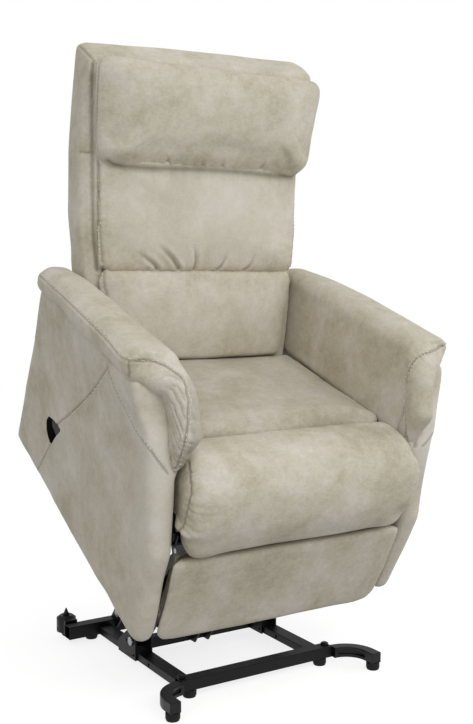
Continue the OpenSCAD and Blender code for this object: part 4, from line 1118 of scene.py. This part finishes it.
class RECLINER_OT_back(bpy.types.Operator):
    """Padded shell of the back and its three pillows"""
    bl_idname = "recliner.back"
    bl_label = "Back"

    def execute(self, context):
        cover, thread = cover_material(context), thread_material(context)
        ob = soft_copy("back_shell_cover", "back_shell", COARSE, 5)
        swell(ob, 0.0016)
        refine(ob)
        warp(ob, self.shell_shape)
        undulate(ob, 0.0025, 0.14, seed=31)
        for side, _ in SIDES:
            seam(ob, on_side(MITRE, side), depth=0.002, width=0.0028)
            seam(ob, on_side(BORDER_JOIN, side), depth=0.002, width=0.0028, ripple=0.001)
            seam(ob, on_side(BORDER, side), depth=0.003, width=0.004, mark=0.6, ripple=0.0005,
                 spacing=0.04, puff=0.0015)
        finish_soft(ob, cover, "back", ["back_shell"])

        for k, (name, node, *form, pale) in enumerate(PILLOWS):
            ob = soft_copy(name, node, MEDIUM, 6)
            self.pillow_shape(ob, *form)
            lean = form[0]
            up, out = along_back(places(ob), lean)
            lo, hi, rear = up.min(), up.max(), out.min()

            def held(co, lean=lean, lo=lo, hi=hi, rear=rear):
                u, v = along_back(co, lean)
                edge = np.maximum(ease(-(u - lo), -0.016, -0.006), ease(-(hi - u), -0.016, -0.006))
                return np.maximum(edge, ease(-(v - rear), -0.02, -0.008))
            inflate(ob, held, pressure=3.5)
            refine(ob)
            undulate(ob, 0.0035, 0.15, seed=41 + k)
            undulate(ob, 0.0012, 0.05, seed=45 + k, stretch=(0.6, 1, 1))
            if k != HEAD:
                self.valley(ob, LUMBAR_VALLEY, LUMBAR_PUCKERS if k == MIDDLE else (), lean)
            if k != LUMBAR:
                self.valley(ob, HEAD_VALLEY, HEAD_PUCKERS if k == HEAD else (), lean)

            # painted highlight: pale inside the pillow's edges, fading toward its sides
            def painted_highlight(co, nr, lean=lean, lo=lo, hi=hi, pale=pale):
                u = along_back(co, lean)[0]
                inside = ease(np.minimum(u - lo, hi - u), 0.0, 0.07)
                return pale * inside * ease(-np.abs(co[:, 0]), -0.29, -0.18)
            paint_highlight(ob, painted_highlight)
            for side, hand in SIDES:
                edge = on_side(SIDE_EDGES[k], side)
                seam(ob, edge, depth=0.0016, width=0.0035, mark=0.28, ripple=0.0006, reach=0.02, puff=0.001)
                stitches(ob, edge, "%s_stitches_%s" % (name, hand), "back", thread, aside=0.0035 * side)
            finish_soft(ob, cover, "back", [node])
        return {"FINISHED"}

    def shell_shape(self, co):
        """Crowned top, and front edges that fall back beside the pillows."""
        x = np.abs(co[:, 0])
        co = co.copy()
        top = ease(co[:, 2], 0.90, 1.0)
        co[:, 2] += top * (0.006 * (1 - (x / 0.30) ** 2) + 0.002 + 0.030 * co[:, 0])
        co[:, 0] *= 1 + 0.034 * ease(co[:, 2], 0.56, 0.66)
        co[:, 0] += 0.009 * ease(co[:, 0], 0.2, 0.28) * top * bell(co[:, 1] - 0.665, 0.035)
        lean = np.where(co[:, 2] > SPLIT, LEAN_TOP, LEAN_LOW)
        up = co[:, 1] * np.sin(lean) + co[:, 2] * np.cos(lean)
        out = -co[:, 1] * np.cos(lean) + co[:, 2] * np.sin(lean)
        front = np.where(co[:, 2] > SPLIT, -0.352, -0.176)
        near_front = ease(out - front, -0.075, -0.01)
        back = -0.016 * ease(x, 0.250, 0.284) * near_front * ease(co[:, 2], 0.5, 0.6) * (1 - top)
        co[:, 1] -= back * np.cos(lean)
        co[:, 2] += back * np.sin(lean)
        return co

    def pillow_shape(self, ob, lean, low_grow, top_grow, low_wide, top_wide, low_draw, top_draw):
        """Stretches a pillow to its valleys, tapers it and draws its sides back."""
        co = places(ob)
        up, out = along_back(co, lean)
        lo, hi, rear, front = up.min(), up.max(), out.min(), out.max()
        t = (up - lo) / (hi - lo)
        up = lo - low_grow + t * (hi - lo + low_grow + top_grow)
        half = np.abs(co[:, 0]).max()
        x = co[:, 0] * (low_wide + (top_wide - low_wide) * t)
        side = ease(np.abs(co[:, 0]) / half, 0.80, 1.0)
        draw = (low_draw + (top_draw - low_draw) * t) * side
        out = out - draw * ease((out - rear) / (front - rear), 0.15, 0.9)
        if lean == LEAN_TOP:
            # the head pillow's foot curls back into the valley, and the middle pillow meets it
            out = out - 0.022 * ease(-t, -0.20, 0.0)
        elif top_grow > 0.010:
            out = out + 0.022 * ease(t, 0.80, 1.0) * ease(out, rear, front)
        set_places(ob, from_back(x, up, out, lean))

    def valley(self, ob, line, puckers, lean):
        """A sewn valley between two pillows, and the puckers that run up out of it."""
        seam(ob, line, depth=0.003, width=0.008, mark=0.55, ripple=0.0014, reach=0.04, spacing=0.035, seed=3)
        co = np.array(line)
        up, out = along_back(co, lean)
        for start, turn, length, depth in puckers:
            u0 = float(np.interp(start, co[:, 0], up))
            v0 = float(np.interp(start, co[:, 0], out)) + 0.02
            points = np.array([(start + math.sin(turn) * length * t + 0.004 * math.sin(5 * t),
                                u0 + math.cos(turn) * length * t) for t in (0, 0.25, 0.5, 0.75, 1)])
            path = from_back(points[:, 0], points[:, 1], np.full(len(points), v0 + 0.2), lean)
            surface = BVHTree.FromObject(ob, bpy.context.evaluated_depsgraph_get())
            inward = Vector((0, math.cos(lean), -math.sin(lean)))
            laid = [surface.ray_cast(Vector(q), inward)[0] for q in path]
            fold(ob, [tuple(q) for q in laid if q], depth, width=0.005, mark=0.5)


def fold(ob, points, depth, width, mark):
    """One crease that is deepest where it starts and fades out along its length."""
    co, nr = places(ob), normals(ob)
    line = on_surface(ob, points)
    d, s = near_line(co, line)
    total = lengths_along(line)[-1]
    fade = 1 - ease(s, 0.15 * total, total)
    dip = bell(d, width) - 0.55 * bell(d - 2 * width, 1.1 * width)
    set_places(ob, co - nr * (depth * dip * fade)[:, None])
    # painted shade along the crease
    raise_mark(ob, "seam", mark * fade * bell(d, 0.7 * width))


# ------------------------------------------------------------------ footrest and rear cloth
class RECLINER_OT_footrest(bpy.types.Operator):
    """Padded footrest panel"""
    bl_idname = "recliner.footrest"
    bl_label = "Footrest"

    def execute(self, context):
        cover = cover_material(context)
        ob = soft_copy("footrest_cover", "footrest_panel", MEDIUM, 4)
        swell(ob, 0.0008)
        refine(ob)
        warp(ob, self.drawn_in)
        # the boxing behind the front face lies in shade
        raise_mark(ob, "seam", 0.9 * ease(places(ob)[:, 1], -0.178, -0.166))
        undulate(ob, 0.003, 0.16, seed=51)
        undulate(ob, 0.0012, 0.05, seed=52, stretch=(0.6, 1, 1))
        finish_soft(ob, cover, "footrest", ["footrest_panel"])
        return {"FINISHED"}

    def drawn_in(self, co):
        """The rear of the sides is drawn in behind the front face; the lower edge hangs a little."""
        co = co.copy()
        x = np.abs(co[:, 0])
        x = x - 0.022 * ease(x, 0.20, 0.27) * ease(co[:, 1], -0.182, -0.160)
        corner = ease(-co[:, 2], -0.11, -0.05) + 0.8 * ease(co[:, 2], 0.15, 0.24)
        x = x + 0.008 * ease(x, 0.18, 0.25) * corner
        x = x + 0.008 * ease(co[:, 0], 0.20, 0.27) * bell(co[:, 2] - 0.15, 0.06)
        co[:, 0] = np.sign(co[:, 0]) * x
        co[:, 2] -= 0.008 * ease(-co[:, 2], -0.11, -0.05)
        return co


class RECLINER_OT_rear_cloth(bpy.types.Operator):
    """Lining cloth across the rear of the chair's body"""
    bl_idname = "recliner.rear_cloth"
    bl_label = "Rear cloth"

    def execute(self, context):
        ob = soft_copy("rear_cloth", "rear_panel", MEDIUM, 3)
        swell(ob, 0.0008)
        undulate(ob, 0.003, 0.12, seed=61)
        finish_soft(ob, lining_cloth(), "chassis", ["rear_panel"])
        return {"FINISHED"}


# ------------------------------------------------------------------ add-on
class RECLINER_PT_panel(bpy.types.Panel):
    """The settings and the build steps"""
    bl_label = "Recliner"
    bl_idname = "RECLINER_PT_panel"
    bl_space_type = "VIEW_3D"
    bl_region_type = "UI"
    bl_category = "Recliner"

    def draw(self, context):
        layout = self.layout
        for group in (context.scene.recliner_cover, context.scene.recliner_stage):
            for key in group.bl_rna.properties.keys():
                if key not in ("rna_type", "name"):
                    layout.prop(group, key)
        for operator in OPERATORS:
            layout.operator(operator.bl_idname)


OPERATORS = (RECLINER_OT_stage, RECLINER_OT_hardware, RECLINER_OT_side_panels, RECLINER_OT_arms,
             RECLINER_OT_seat, RECLINER_OT_back, RECLINER_OT_footrest, RECLINER_OT_rear_cloth)
CLASSES = (ReclinerCover, ReclinerStage) + OPERATORS + (RECLINER_PT_panel,)


def register():
    """Makes the settings, the operators and the panel known to Blender."""
    for c in CLASSES:
        bpy.utils.register_class(c)
    bpy.types.Scene.recliner_cover = bpy.props.PointerProperty(type=ReclinerCover)
    bpy.types.Scene.recliner_stage = bpy.props.PointerProperty(type=ReclinerStage)


def unregister():
    """Takes them away again."""
    del bpy.types.Scene.recliner_stage
    del bpy.types.Scene.recliner_cover
    for c in reversed(CLASSES):
        bpy.utils.unregister_class(c)


def main():
    """Builds the stage and every piece."""
    register()
    for operator in OPERATORS:
        group, name = operator.bl_idname.split(".")
        getattr(getattr(bpy.ops, group), name)()


if __name__ == "__main__":
    main()
